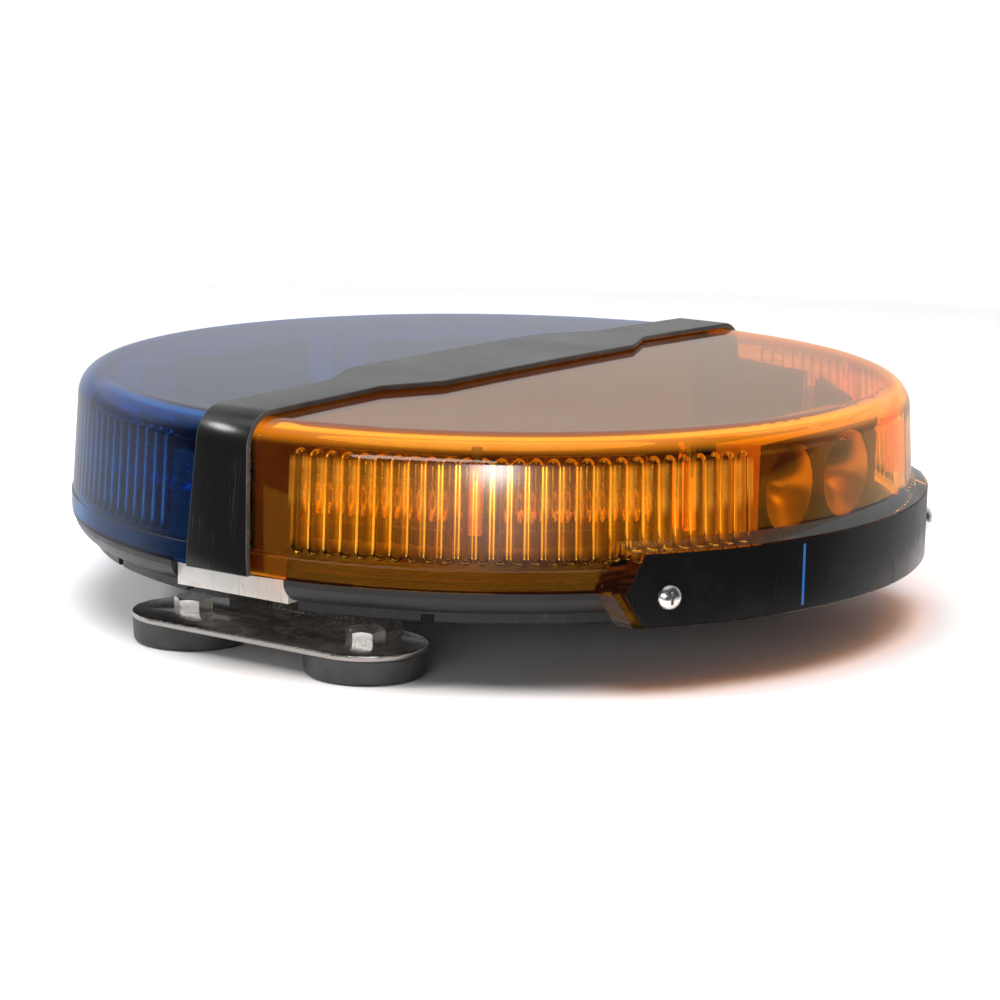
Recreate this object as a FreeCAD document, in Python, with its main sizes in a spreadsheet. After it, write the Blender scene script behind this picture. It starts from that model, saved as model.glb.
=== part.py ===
import FreeCAD, Part
import Sketcher
import math
import os
import re

# A round two-colour warning light for a vehicle roof, standing on four rubber-booted magnets.
# Millimetres. +Z is up, the origin is on the roof surface under the centre of the round body,
# the centre strap runs along Y, the amber half is on +X and the blue half on -X.

# --------------------------------------------------------------------------- driving sizes
SIZES = {
    # round lens halves
    "bodyRadius": 170.0,        # outside of the plain skirt at the lens's lower edge
    "skirtStep": 0.5,           # how far the skirt stands out from the wall above it
    "wallLean": 2.4,            # how far the wall leans in on its way up
    "lensBottom": 37.8,         # height of the lens's lower edge
    "skirtHeight": 8.4,
    "wallHeight": 37.6,         # from the skirt's top to the top rounding
    "lensCorner": 10.7,         # outside radius of the top rounding
    "crownRise": 1.7,           # how much the top is domed
    "lensWall": 3.5,
    "seamGap": 0.5,             # between the two halves, under the strap
    # vertical flutes inside the lens wall, in two fields beside a plain window
    "windowAngle": 20.0,        # half of the plain window
    "fluteFieldEnd": 80.2,      # degrees from the window's middle
    "fluteCount": 28,           # flutes in each field
    "fluteLand": 0.9794,        # plain wall between two flutes
    "fluteDepth": 1.3,
    "fluteFoot": 3.8,           # from the skirt's top up to the flutes' lower ends
    "fluteHead": 0.8,           # from the flutes' upper ends up to the top rounding
    "postAngle": 28.8,          # inner locating posts of the lens
    "postAngleTwo": 56.4,
    "postWidth": 4.0,
    "postReach": 5.0,           # from the wall inwards
    "postHeight": 26.0,         # below the top of the flutes
    # raised screw pads at the lens's lower edge
    "padStand": 5.2,            # how far a pad stands out from the skirt
    "padDrop": 12.3,            # how far it hangs below the lens's lower edge
    "padHeight": 27.5,
    "padShelf": 3.5,            # slope from the pad's top edge back to the wall
    "padTipRise": 12.1,         # from the pad's lower edge up to its pointed ends
    "padTipAngle": 39.9,
    "padCornerAngle": 37.4,
    "bluePadTrim": 20.0,        # degrees by which the blue pad is shorter at each end
    "labelThickness": 0.35,
    "labelMargin": 1.3,         # degrees between the label's ends and the pad's ends
    "labelEdge": 0.5,
    "lensScrewInset": 6.9,      # degrees from a pad's tip to its screw
    "lensScrewRise": 11.0,      # from the pad's lower edge
    "lensScrewRadius": 2.1,
    "lensScrewHead": 4.75,
    "lensScrewHeadHeight": 2.9,
    "lensScrewLength": 14.0,
    # base tray
    "trayRimInset": 1.0,        # inside the skirt
    "floorDrop": 7.8,           # from the lens's lower edge down to the underside of the floor
    "trayFloor": 3.0,
    "footRingDrop": 5.4,        # below the floor
    "footRingInset": 9.5,
    "footRingWall": 4.5,
    "footRingHeight": 3.9,
    "tongueWall": 3.2,
    "tongueHeight": 6.2,        # above the lens's lower edge
    "lensFit": 0.6,             # between the tray's tongue and the lens
    "sealSection": 0.95,        # radius of the O-ring's section
    "sealHeight": 3.7,          # above the lens's lower edge
    "sealStop": 3.2418,         # from the recess for a bracket's lip to the seal's end
    "notchAngle": 27.5,         # gaps in the foot ring, either side of each bracket
    "notchWidth": 5.0,
    "notchDepth": 3.0,
    # strap over the seam
    "strapGap": 0.3,
    "strapWall": 2.4,
    "strapBottomHalf": 14.9,
    "strapNarrowHalf": 12.3,
    "strapWideHalf": 23.8,
    "strapWideReach": 66.0,     # half length of the wide part
    "strapNarrowReach": 91.0,   # where the narrow ends begin
    # chassis plate
    "chassisInset": 20.0,       # inside the skirt
    "chassisGap": 5.0,          # height of the posts under the chassis
    "chassisWall": 2.0,
    "chassisPostShare": 0.72,   # of the plate's radius
    "chassisPostRadius": 5.0,
    "smallScrewRadius": 1.5,
    "smallScrewHead": 2.75,
    "smallScrewHeadHeight": 2.0,
    "screwClearance": 0.15,
    # light divider
    "dividerWall": 2.0,
    "dividerHeadroom": 0.8,
    # LED modules behind the flutes
    "moduleAngle": 42.6,
    "moduleAngleTwo": 70.0,
    "moduleInset": 30.0,        # from the skirt in to the outer face of a module's upright
    "moduleShare": 0.2,         # half of a module's width, as a share of its distance
    "moduleHead": 1.8,          # from a module's top up to the lens's top rounding
    "moduleFoot": 16.0,
    "moduleWall": 1.5,
    "moduleScrewInset": 9.0,
    "lampDrop": 0.5,            # of the lamps, from the middle of the flutes
    "boardWall": 1.6,
    "boardEdge": 1.0,
    "emitterEnd": 1.2,          # from the bracket's end to half a pitch past the last emitter
    "emitterSide": 3.6,
    "emitterHeight": 1.2,
    "opticReach": 10.4,         # from the board's face to the optic's front
    "opticHalfHeight": 9.0,
    "opticPlate": 2.0,
    "opticCup": 6.2,
    # twin lamps in the plain windows
    "windowInset": 19.0,        # inside the skirt
    "windowDepth": 20.0,
    "windowHalf": 43.0,
    "windowCupPitch": 42.0,
    "windowCupEdge": 1.5,       # above and below the bowls
    "windowHead": 1.2,          # above the point where the lens's top rounding begins
    "windowEmitter": 3.2,
    "windowEmitterHeight": 5.0,
    "bowlCurve": 26.0,
    # control board
    "controlNear": 25.0,
    "controlFar": 100.0,
    "controlHalf": 45.0,
    "standoff": 6.0,
    "standoffRadius": 3.0,
    "standoffInset": 5.0,
    # cable entry
    "glandStepX": 6.0,          # from the nearest post of the chassis
    "glandStepY": 13.5307,
    "cableRadius": 3.0,
    "glandWall": 3.0,
    "glandNose": 6.0,
    "leadPlace": 10.0,          # of the leads to the window lamps, across the board
    "leadRadius": 1.5,
    "leadRise": 3.0,            # above the control board
    "leadHole": 2.6,
    "cableRise": 5.0,
    "ventRadius": 3.5,
    # magnets
    "magnetHalfSpacing": 41.8,
    "magnetInset": 32.9,        # inside the skirt
    "bootRadius": 23.2,
    "bootHeight": 9.4,
    "bootWall": 2.0,
    "bootFloor": 1.2,
    "bootRound": 1.8,
    "magnetFit": 0.2,
    "cupWall": 2.5,
    "cupTop": 3.0,
    "magnetBore": 5.0,
    # M8 bolts, M6 bracket bolts
    "boltRadius": 4.0,
    "boltFlats": 13.0,
    "boltHead": 5.3,
    "boltStop": 1.2,            # from the bolt's end to the floor of the boot
    "boltTurn": 27.6,           # how the heads happen to stand
    "boltClearance": 0.25,
    "mountBoltRadius": 3.0,
    "mountBoltFlats": 10.0,
    "mountBoltHead": 4.0,
    "mountNutHeight": 5.0,
    "mountBoltX": 22.0,
    "mountBoltSetback": 7.1,    # from the magnets' line towards the middle
    # stainless brackets
    "plateWall": 2.0,
    "lipHalf": 26.5,
    "lipRise": 8.2,             # above the lens's lower edge
    "lipGap": 0.4,
    "lipClear": 0.3711,         # between the lip's corners and the lens wall
    "webTopHalf": 62.0,
    "webCurve": 20.0,
    "flangeShoulder": 18.5,     # from the lip back to where the flange widens
    "flangeSide": 12.0,         # length of the flange's straight sides
}

# Sizes that follow from the driving ones, kept in the same sheet to a thousandth.
FOLLOWING = {
    "shoulderRadius": "bodyRadius - skirtStep - wallLean",
    "shoulderHeight": "lensBottom + skirtHeight + wallHeight",
    "flutePitch": "(fluteFieldEnd - windowAngle) / fluteCount",
    "fluteRadius": "(((bodyRadius - skirtStep - lensWall) * flutePitch * pi / 180 - fluteLand)^2 / 4"
                   " + fluteDepth^2) / (2 * fluteDepth)",
    "fluteBottom": "lensBottom + skirtHeight + fluteFoot",
    "fluteTop": "shoulderHeight - fluteHead",
    "padRadius": "bodyRadius + padStand",
    "padBottom": "lensBottom - padDrop",
    "padTop": "padBottom + padHeight",
    "padTipHeight": "padBottom + padTipRise",
    "lensScrewHeight": "padBottom + lensScrewRise",
    "trayRimRadius": "bodyRadius - trayRimInset",
    "trayFloorBottom": "lensBottom - floorDrop",
    "footRingBottom": "trayFloorBottom - footRingDrop",
    "footRingRadius": "bodyRadius - footRingInset",
    "chassisRadius": "bodyRadius - chassisInset",
    "chassisPostCircle": "chassisRadius * chassisPostShare",
    "moduleRadius": "bodyRadius - moduleInset",
    "moduleHalf": "moduleRadius * moduleShare",
    "moduleTop": "shoulderHeight - moduleHead",
    "moduleScrewHalf": "moduleHalf - moduleScrewInset",
    "lampHeight": "(fluteBottom + fluteTop) / 2 - lampDrop",
    "boardHalfHeight": "fluteTop - lampHeight",
    "emitterPitch": "(moduleHalf - emitterEnd) / 2",
    "windowFront": "bodyRadius - windowInset",
    "windowTop": "shoulderHeight + windowHead",
    "windowCupRadius": "windowTop - lampHeight - windowCupEdge",
    "glandX": "-chassisPostCircle / 2 - glandStepX",
    "glandY": "-chassisPostCircle * sqrt(3) / 2 + glandStepY",
    "ventPlace": "chassisRadius * 7 / 15",
    "magnetReach": "bodyRadius - magnetInset",
    "mountBoltY": "magnetReach - mountBoltSetback",
    "boltLength": "bootHeight + plateWall - bootFloor - boltStop",
    "lipReach": "sqrt((bodyRadius - skirtStep - lensWall)^2 - lipHalf^2) - lipClear",
    "lipTop": "lensBottom + lipRise",
    "flangeStep": "lipReach - flangeShoulder",
    "sealEndAngle": "asin((lipHalf + lipGap + sealStop)"
                    " / (bodyRadius - skirtStep - lensWall - lensFit)) / 1deg",
}

# Heights and radii that follow from the driving sizes.
LENS_TOP = "(shoulderHeight + lensCorner)"
TOP_FLAT = "(shoulderRadius - lensCorner)"
SKIRT_TOP = "(lensBottom + skirtHeight)"
WALL_RADIUS = "(bodyRadius - skirtStep)"
WALL_INNER = "(bodyRadius - skirtStep - lensWall)"
CROWN_CURVE = "((shoulderRadius - lensCorner)^2 + crownRise^2) / (2 * crownRise)"
TONGUE_OUTER = "(bodyRadius - skirtStep - lensWall - lensFit)"
TONGUE_INNER = "(bodyRadius - skirtStep - lensWall - lensFit - tongueWall)"
TONGUE_TOP = "(lensBottom + tongueHeight)"
FLOOR_TOP = "(trayFloorBottom + trayFloor)"
CHASSIS_BOTTOM = "(trayFloorBottom + trayFloor + chassisGap)"
CHASSIS_TOP = "(trayFloorBottom + trayFloor + chassisGap + chassisWall)"
PLATE_TOP = "(bootHeight + plateWall)"
FLANGE_BOTTOM = "(trayFloorBottom - plateWall)"
CONTROL_TOP = f"({CHASSIS_TOP} + standoff + boardWall)"
BOARD_FACE = "(moduleRadius + boardWall)"
SCREW_HOLE = "(smallScrewRadius + screwClearance)"
AMBER_SCREW_ANGLE = "(padTipAngle - lensScrewInset)"
BLUE_SCREW_ANGLE = "(padTipAngle - bluePadTrim - lensScrewInset)"
BOWL_THROAT = "(windowEmitter + 0.8)"
MODULE_SCREW_RADIUS = "moduleRadius - moduleFoot / 2 - moduleWall"

CHASSIS_POST_ANGLES = (0, 60, 120, 180, 240, 300)
MODULE_ANGLES = ("-moduleAngleTwo", "-moduleAngle", "moduleAngle", "moduleAngleTwo",
                 "180 - moduleAngleTwo", "180 - moduleAngle", "180 + moduleAngle", "180 + moduleAngleTwo")

ALIASES = {**SIZES, **FOLLOWING}

doc = FreeCAD.newDocument("roof_light")
sheet = doc.addObject("Spreadsheet::Sheet", "Sizes")
for row, (alias, size) in enumerate(ALIASES.items(), start=1):
    sheet.set(f"A{row}", alias)
    sheet.set(f"B{row}", str(size) if alias in SIZES else f"=round(({size}) * 1000) / 1000")
    sheet.setAlias(f"B{row}", alias)
doc.recompute()

sub_parts = []


# --------------------------------------------------------------------------- helpers
def linked(text):
    """Turns each size's name in an expression into a reference to its cell."""
    return re.sub(r"[A-Za-z]\w*", lambda word: "Sizes." * (word.group() in ALIASES) + word.group(),
                  str(text))


def value(text):
    """The number that an expression of sizes has now."""
    return float(sheet.evalExpression(linked(text)))


def bind(target, name, text):
    target.setExpression(name, linked(text))


def place(target, x="0", y="0", z="0", turn="0"):
    """Sets and binds a placement: a turn about Z, then a shift."""
    spin = FreeCAD.Rotation(FreeCAD.Vector(0, 0, 1), value(turn))
    target.Placement = FreeCAD.Placement(FreeCAD.Vector(value(x), value(y), value(z)), spin)
    for axis, text in (("x", x), ("y", y), ("z", z)):
        bind(target, "Placement.Base." + axis, text)
    if turn != "0":
        bind(target, "Placement.Rotation.Angle", turn)
    return target


def keep(target, label):
    """Registers a finished sub-part under its own label."""
    target.Label = label
    sub_parts.append(target)
    return target


def new_body(label):
    return doc.addObject("PartDesign::Body", label)


def origin_feature(body, role):
    return next(feature for feature in body.Origin.OriginFeatures if feature.Role == role)


def sketch_on(body, name, role, shift=("0", "0", "0"), turn="0", tilt="0"):
    """An empty sketch on one of the body's origin planes, shifted, turned about the plane's
    upright axis and tilted in its own plane."""
    sketch = body.newObject("Sketcher::SketchObject", name)
    sketch.AttachmentSupport = [(origin_feature(body, role), "")]
    sketch.MapMode = "FlatFace"
    spin = FreeCAD.Rotation(FreeCAD.Vector(0, 1, 0), value(turn))
    lean = FreeCAD.Rotation(FreeCAD.Vector(0, 0, 1), value(tilt))
    start = FreeCAD.Vector(*[value(part) for part in shift])
    sketch.AttachmentOffset = FreeCAD.Placement(start, spin * lean)
    for axis, text in zip("xyz", shift):
        bind(sketch, "AttachmentOffset.Base." + axis, text)
    return sketch


def radial_sketch(body, name, angle, distance):
    """A sketch that faces outwards at an angle round the body, at a distance from its axis."""
    shift = (f"({distance}) * sin({angle})", "0", f"({distance}) * cos({angle})")
    return sketch_on(body, name, "YZ_Plane", shift, turn=angle)


def outline(sketch, points):
    """Draws a closed outline. A point is (x, y) or, where an arc leaves it, (x, y, radius);
    the arc bulges to the left of the way to the next point, or to the right with a minus sign."""
    corners = [FreeCAD.Vector(value(point[0]), value(point[1]), 0) for point in points]
    sides = []
    for index, point in enumerate(points):
        here = corners[index]
        there = corners[(index + 1) % len(points)]
        if len(point) == 2:
            sides.append(Part.LineSegment(here, there))
            continue
        radius = value(point[2])
        chord = there - here
        left = FreeCAD.Vector(-chord.y, chord.x, 0).normalize()
        rise = abs(radius) - math.sqrt(max(radius ** 2 - (chord.Length / 2) ** 2, 0))
        middle = (here + there) / 2 + left * math.copysign(rise, radius)
        ends = (there, here) if radius > 0 else (here, there)
        sides.append(Part.Arc(ends[0], middle, ends[1]))
    ids = sketch.addGeometry(sides, False)
    starts = []
    for index, side in zip(ids, range(len(points))):
        begins = (sketch.Geometry[index].StartPoint - corners[side]).Length < 1e-6
        starts.append(1 if begins else 2)
    rules = []
    texts = {}
    for index in range(len(points)):
        before = index - 1
        rules.append(Sketcher.Constraint("Coincident", ids[before], 3 - starts[before],
                                         ids[index], starts[index]))
    for index, point in enumerate(points):
        for axis, text, number in (("DistanceX", point[0], corners[index].x),
                                   ("DistanceY", point[1], corners[index].y)):
            texts[len(rules)] = text
            rules.append(Sketcher.Constraint(axis, -1, 1, ids[index], starts[index], number))
        if len(point) == 3:
            texts[len(rules)] = f"abs({point[2]})"
            rules.append(Sketcher.Constraint("Radius", ids[index], abs(value(point[2]))))
    add_rules(sketch, rules, texts)
    return sketch


def add_rules(sketch, rules, texts):
    first = sketch.ConstraintCount
    sketch.addConstraint(rules)
    for index, text in texts.items():
        bind(sketch, f"Constraints[{first + index}]", text)


def circle(sketch, x, y, radius):
    centre = FreeCAD.Vector(value(x), value(y), 0)
    ring = Part.Circle(centre, FreeCAD.Vector(0, 0, 1), value(radius))
    index = sketch.addGeometry(ring, False)
    rules = [Sketcher.Constraint("DistanceX", -1, 1, index, 3, centre.x),
             Sketcher.Constraint("DistanceY", -1, 1, index, 3, centre.y),
             Sketcher.Constraint("Radius", index, value(radius))]
    add_rules(sketch, rules, {0: x, 1: y, 2: radius})
    return sketch


def rectangle(sketch, left, low, right, high):
    return outline(sketch, [(left, low), (right, low), (right, high), (left, high)])


def pad(body, name, sketch, length, symmetric=False, reverse=False):
    feature = body.newObject("PartDesign::Pad", name)
    feature.Profile = sketch
    bind(feature, "Length", length)
    feature.SideType = "Symmetric" if symmetric else "One side"
    feature.Reversed = reverse
    return feature


def pocket(body, name, sketch, length, symmetric=False, reverse=False):
    """Cuts a sketch out of the body and makes sure that something was cut."""
    doc.recompute()
    before = body.Shape.Volume
    feature = body.newObject("PartDesign::Pocket", name)
    feature.Profile = sketch
    bind(feature, "Length", length)
    feature.SideType = "Symmetric" if symmetric else "One side"
    feature.Reversed = reverse
    doc.recompute()
    if body.Shape.Volume > before - 0.01:
        raise RuntimeError(f"{body.Name}: pocket {name} cut nothing")
    return feature


def turned(body, name, sketch, angle="360", axis="V_Axis", kind="Revolution"):
    """A Revolution or Groove about one of the sketch's axes, centred on the sketch's plane."""
    feature = body.newObject("PartDesign::" + kind, name)
    feature.Profile = sketch
    feature.ReferenceAxis = (sketch, [axis])
    bind(feature, "Angle", angle)
    feature.Midplane = angle != "360"
    return feature


def primitive(kind, name, x="0", y="0", z="0", **sizes):
    """A Part primitive, standing along Z, with its sizes and its place bound to the sheet."""
    solid = doc.addObject("Part::" + kind, name)
    for size, text in sizes.items():
        bind(solid, size, text)
    return place(solid, x, y, z)


def box(name, x, y, z, length, width, height):
    """A box that starts at x and z and is centred on y."""
    return primitive("Box", name, x, f"({y}) - ({width}) / 2", z,
                     Length=length, Width=width, Height=height)


def along_x(solid):
    """Lays a primitive that stands along Z down along +X."""
    spin = FreeCAD.Rotation(FreeCAD.Vector(0, 1, 0), 90)
    solid.Placement = FreeCAD.Placement(solid.Placement.Base, spin)
    return solid


def joined(name, members):
    fusion = doc.addObject("Part::MultiFuse", name)
    fusion.Shapes = members
    return fusion


def cut(name, base, tool):
    result = doc.addObject("Part::Cut", name)
    result.Base = base
    result.Tool = tool
    return result


def group(label, members):
    """One node that holds several separate solids."""
    compound = doc.addObject("Part::Compound", label)
    compound.Links = members
    return keep(compound, label)


def polar(radius, angle, side="0"):
    """Expressions for the point at a radius and angle, moved sideways along the tangent."""
    x = f"(({radius}) * cos({angle}) - ({side}) * sin({angle}))"
    y = f"(({radius}) * sin({angle}) + ({side}) * cos({angle}))"
    return x, y


# --------------------------------------------------------------------------- base tray
def make_base_tray():
    body = new_body("base_tray")
    section = outline(sketch_on(body, "tray_section", "XZ_Plane"), [
        ("0", "trayFloorBottom"),
        ("footRingRadius - footRingWall", "trayFloorBottom"),
        ("footRingRadius - footRingWall", "footRingBottom"),
        ("footRingRadius - 0.6", "footRingBottom"),
        ("footRingRadius", "footRingBottom + 0.6"),
        ("footRingRadius", "footRingBottom + footRingHeight", "-10"),
        ("trayRimRadius - 0.2", "lensBottom - 2.6"),
        ("trayRimRadius", "lensBottom"),
        (TONGUE_OUTER, "lensBottom"),
        (TONGUE_OUTER, "lensBottom + sealHeight - 1.15 * sealSection"),
        (f"{TONGUE_OUTER} - 1.6 * sealSection", "lensBottom + sealHeight - 1.15 * sealSection"),
        (f"{TONGUE_OUTER} - 1.6 * sealSection", "lensBottom + sealHeight + 1.15 * sealSection"),
        (TONGUE_OUTER, "lensBottom + sealHeight + 1.15 * sealSection"),
        (TONGUE_OUTER, TONGUE_TOP),
        (TONGUE_INNER, TONGUE_TOP),
        (TONGUE_INNER, FLOOR_TOP),
        ("0", FLOOR_TOP),
    ])
    turned(body, "tray_turn", section)
    for side in (1, -1):
        wall = sketch_on(body, f"lip_wall_{side}", "XY_Plane", ("0", "0", "trayFloorBottom"))
        rectangle(wall, "-lipHalf - 3", f"{side} * (lipReach - plateWall - lipGap - 3)",
                  "lipHalf + 3", f"{side} * (lipReach - plateWall - lipGap)")
        pad(body, f"lip_wall_pad_{side}", wall, f"{TONGUE_TOP} - trayFloorBottom")
        recess = sketch_on(body, f"lip_recess_{side}", "XY_Plane", ("0", "0", f"{TONGUE_TOP} + 1"))
        rectangle(recess, "-lipHalf - lipGap", f"{side} * (lipReach - plateWall - lipGap)",
                  "lipHalf + lipGap", f"{side} * (bodyRadius + 5)")
        pocket(body, f"lip_recess_cut_{side}", recess, f"{TONGUE_TOP} - footRingBottom + 2")
        gate = sketch_on(body, f"flange_gate_{side}", "XY_Plane", ("0", "0", "trayFloorBottom"))
        rectangle(gate, "-lipHalf - lipGap", f"{side} * (flangeStep + 3)",
                  "lipHalf + lipGap", f"{side} * (lipReach - plateWall)")
        pocket(body, f"flange_gate_cut_{side}", gate, "trayFloorBottom - footRingBottom + 1")
    for index, angle in enumerate(("-90 - notchAngle", "-90 + notchAngle",
                                   "90 - notchAngle", "90 + notchAngle")):
        notch = radial_sketch(body, f"notch_{index}", angle, "footRingRadius - 9")
        rectangle(notch, "-notchWidth / 2", "footRingBottom - 1", "notchWidth / 2",
                  "footRingBottom + notchDepth")
        pocket(body, f"notch_cut_{index}", notch, "20", reverse=True)
    posts = sketch_on(body, "posts", "XY_Plane", ("0", "0", "trayFloorBottom + 1"))
    for angle in CHASSIS_POST_ANGLES:
        circle(posts, *polar("chassisPostCircle", str(angle)), "chassisPostRadius")
    pad(body, "posts_pad", posts, "trayFloor + chassisGap - 1")
    pilots = sketch_on(body, "post_pilots", "XY_Plane", ("0", "0", CHASSIS_BOTTOM))
    for angle in CHASSIS_POST_ANGLES:
        circle(pilots, *polar("chassisPostCircle", str(angle)), SCREW_HOLE)
    pocket(body, "post_pilots_cut", pilots, "chassisGap + 1")
    holes = sketch_on(body, "floor_holes", "XY_Plane", ("0", "0", FLOOR_TOP))
    for x in (-1, 1):
        for y in (-1, 1):
            circle(holes, f"{x} * mountBoltX", f"{y} * mountBoltY",
                   "mountBoltRadius + boltClearance")
    circle(holes, "glandX", "glandY", "cableRadius + glandWall + 0.1")
    circle(holes, "ventPlace", "ventPlace", "ventRadius + 0.1")
    pocket(body, "floor_holes_cut", holes, "trayFloor + 1")
    for name, angle in lens_screw_angles():
        hole = circle(radial_sketch(body, "tray_" + name, angle, "footRingRadius - 8"),
                      "0", "lensScrewHeight", "lensScrewRadius + 0.1")
        pocket(body, "tray_cut_" + name, hole, "20", reverse=True)
    return keep(body, "base_tray")


def lens_screw_angles():
    """The four screws round the whole light, the amber half's first."""
    return (("screw_1", "-" + AMBER_SCREW_ANGLE), ("screw_2", AMBER_SCREW_ANGLE),
            ("screw_3", "180 - " + BLUE_SCREW_ANGLE), ("screw_4", "180 + " + BLUE_SCREW_ANGLE))


def make_lens_seal():
    """Two lengths of round cord in the tray's groove, one for each lens half."""
    strips = []
    for name, turn in (("amber", "sealEndAngle - 90"), ("blue", "sealEndAngle + 90")):
        strip = primitive("Torus", "seal_" + name, Angle3="180 - 2 * sealEndAngle",
                          Radius1=f"{TONGUE_OUTER} - 0.45 * sealSection", Radius2="sealSection")
        strips.append(place(strip, z="lensBottom + sealHeight", turn=turn))
    return group("lens_seal", strips)


# --------------------------------------------------------------------------- lens halves
def pad_outline(tip, corner, radius, low, high, tip_height):
    """The pad's or label's outline, flattened: a band with an arrow-shaped end at each side."""
    far = f"({radius}) * sin({tip})"
    near = f"({radius}) * sin({corner})"
    return [("-" + near, low), (near, low), (far, tip_height), (near, high), ("-" + near, high),
            ("-" + far, tip_height)]


def make_lens(label, turn, pad_trim, screws):
    """A half-round lens on +X, turned about Z to its own side."""
    body = new_body(label)
    tip = f"(padTipAngle - {pad_trim})"
    corner = f"(padCornerAngle - {pad_trim})"
    ridge = "padTop + padShelf"
    block = outline(sketch_on(body, "pad_block", "YZ_Plane"),
                    pad_outline(tip, corner, "padRadius", "padBottom", ridge, "padTipHeight"))
    pad(body, "pad_blank", block, "padRadius + 1")
    outside = outline(sketch_on(body, "pad_outside", "XZ_Plane"), [
        ("padRadius", "padBottom - 1"), ("padRadius", "padTop"),
        (f"{WALL_RADIUS} - 0.8", ridge), (f"{WALL_RADIUS} - 0.8", f"{ridge} + 1"),
        ("padRadius * 1.3", f"{ridge} + 1"), ("padRadius * 1.3", "padBottom - 1")])
    turned(body, "pad_outside_cut", outside, kind="Groove")
    inside = outline(sketch_on(body, "pad_inside", "XZ_Plane"), [
        ("0", "padBottom - 1"), ("trayRimRadius + 0.3", "padBottom - 1"),
        ("trayRimRadius + 0.3", "lensBottom"), (f"{WALL_INNER} + 1", "lensBottom"),
        (f"{WALL_INNER} + 1", f"{ridge} + 1"), ("0", f"{ridge} + 1")])
    turned(body, "pad_inside_cut", inside, kind="Groove")
    shell = outline(sketch_on(body, "shell_section", "XZ_Plane"), [
        (WALL_INNER, "lensBottom"),
        ("bodyRadius", "lensBottom"),
        ("bodyRadius", f"{SKIRT_TOP} - 0.4"),
        (WALL_RADIUS, SKIRT_TOP),
        ("shoulderRadius", "shoulderHeight", "-lensCorner"),
        (TOP_FLAT, LENS_TOP, f"-{CROWN_CURVE}"),
        ("1", f"{LENS_TOP} + crownRise"),
        ("0", f"{LENS_TOP} + crownRise"),
        ("0", f"{LENS_TOP} + crownRise - lensWall"),
        ("1", f"{LENS_TOP} + crownRise - lensWall", f"{CROWN_CURVE}"),
        (TOP_FLAT, f"{LENS_TOP} - lensWall", "lensCorner - lensWall"),
        ("shoulderRadius - lensWall", "shoulderHeight"),
        (WALL_INNER, SKIRT_TOP),
    ])
    turned(body, "shell_turn", shell, angle="180")
    lean_in = f"{WALL_RADIUS} - shoulderRadius"
    lean = math.degrees(math.atan(value(f"({lean_in}) / (shoulderHeight - {SKIRT_TOP})")))
    for field, side in (("near", -1), ("far", 1)):
        first = f"{side} * (windowAngle + flutePitch / 2)"
        axis = f"({WALL_INNER} - (fluteBottom - {SKIRT_TOP}) * tan({lean}) + fluteDepth - fluteRadius)"
        flute = sketch_on(body, f"flute_{field}", "XZ_Plane",
                          (f"{axis} * cos({first})", "fluteBottom", f"-{axis} * sin({first})"),
                          turn=first, tilt=str(lean))
        outline(flute, [("0", "-fluteRadius", "-fluteRadius"), ("fluteRadius", "0"),
                        ("fluteRadius", "fluteTop - fluteBottom", "-fluteRadius"),
                        ("0", "fluteTop - fluteBottom + fluteRadius")])
        groove = turned(body, f"flute_cut_{field}", flute, kind="Groove")
        row = body.newObject("PartDesign::PolarPattern", f"flute_row_{field}")
        row.Originals = [groove]
        row.Axis = (origin_feature(body, "Z_Axis"), [""])
        row.Reversed = side < 0
        bind(row, "Angle", "flutePitch * (fluteCount - 1)")
        bind(row, "Occurrences", "fluteCount")
        body.Tip = row
    for index, angle in enumerate(("-postAngleTwo", "-postAngle", "postAngle", "postAngleTwo")):
        post = radial_sketch(body, f"post_{index}", angle, f"{WALL_INNER} - postReach - 3")
        rectangle(post, "-postWidth / 2", "shoulderHeight - postHeight", "postWidth / 2",
                  f"{LENS_TOP} - lensWall - 2")
        pad(body, f"post_pad_{index}", post, "postReach + 1")
    for name, angle in screws:
        hole = circle(radial_sketch(body, "lens_" + name, angle, "trayRimRadius - 8"),
                      "0", "lensScrewHeight", "lensScrewRadius + 0.2")
        pocket(body, "lens_cut_" + name, hole, "20", reverse=True)
    seam = sketch_on(body, "seam", "XZ_Plane")
    rectangle(seam, "-1", "lensBottom - 1", "seamGap / 2", f"{LENS_TOP} + crownRise + 1")
    pocket(body, "seam_cut", seam, "2 * bodyRadius + 10", symmetric=True)
    place(body, turn=turn)
    return keep(body, label)


def make_lenses():
    amber_screws = (("screw_1", "-" + AMBER_SCREW_ANGLE), ("screw_2", AMBER_SCREW_ANGLE))
    blue_screws = (("screw_3", "-" + BLUE_SCREW_ANGLE), ("screw_4", BLUE_SCREW_ANGLE))
    make_lens("amber_lens", "0", "0", amber_screws)
    make_lens("blue_lens", "180", "bluePadTrim", blue_screws)


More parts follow.
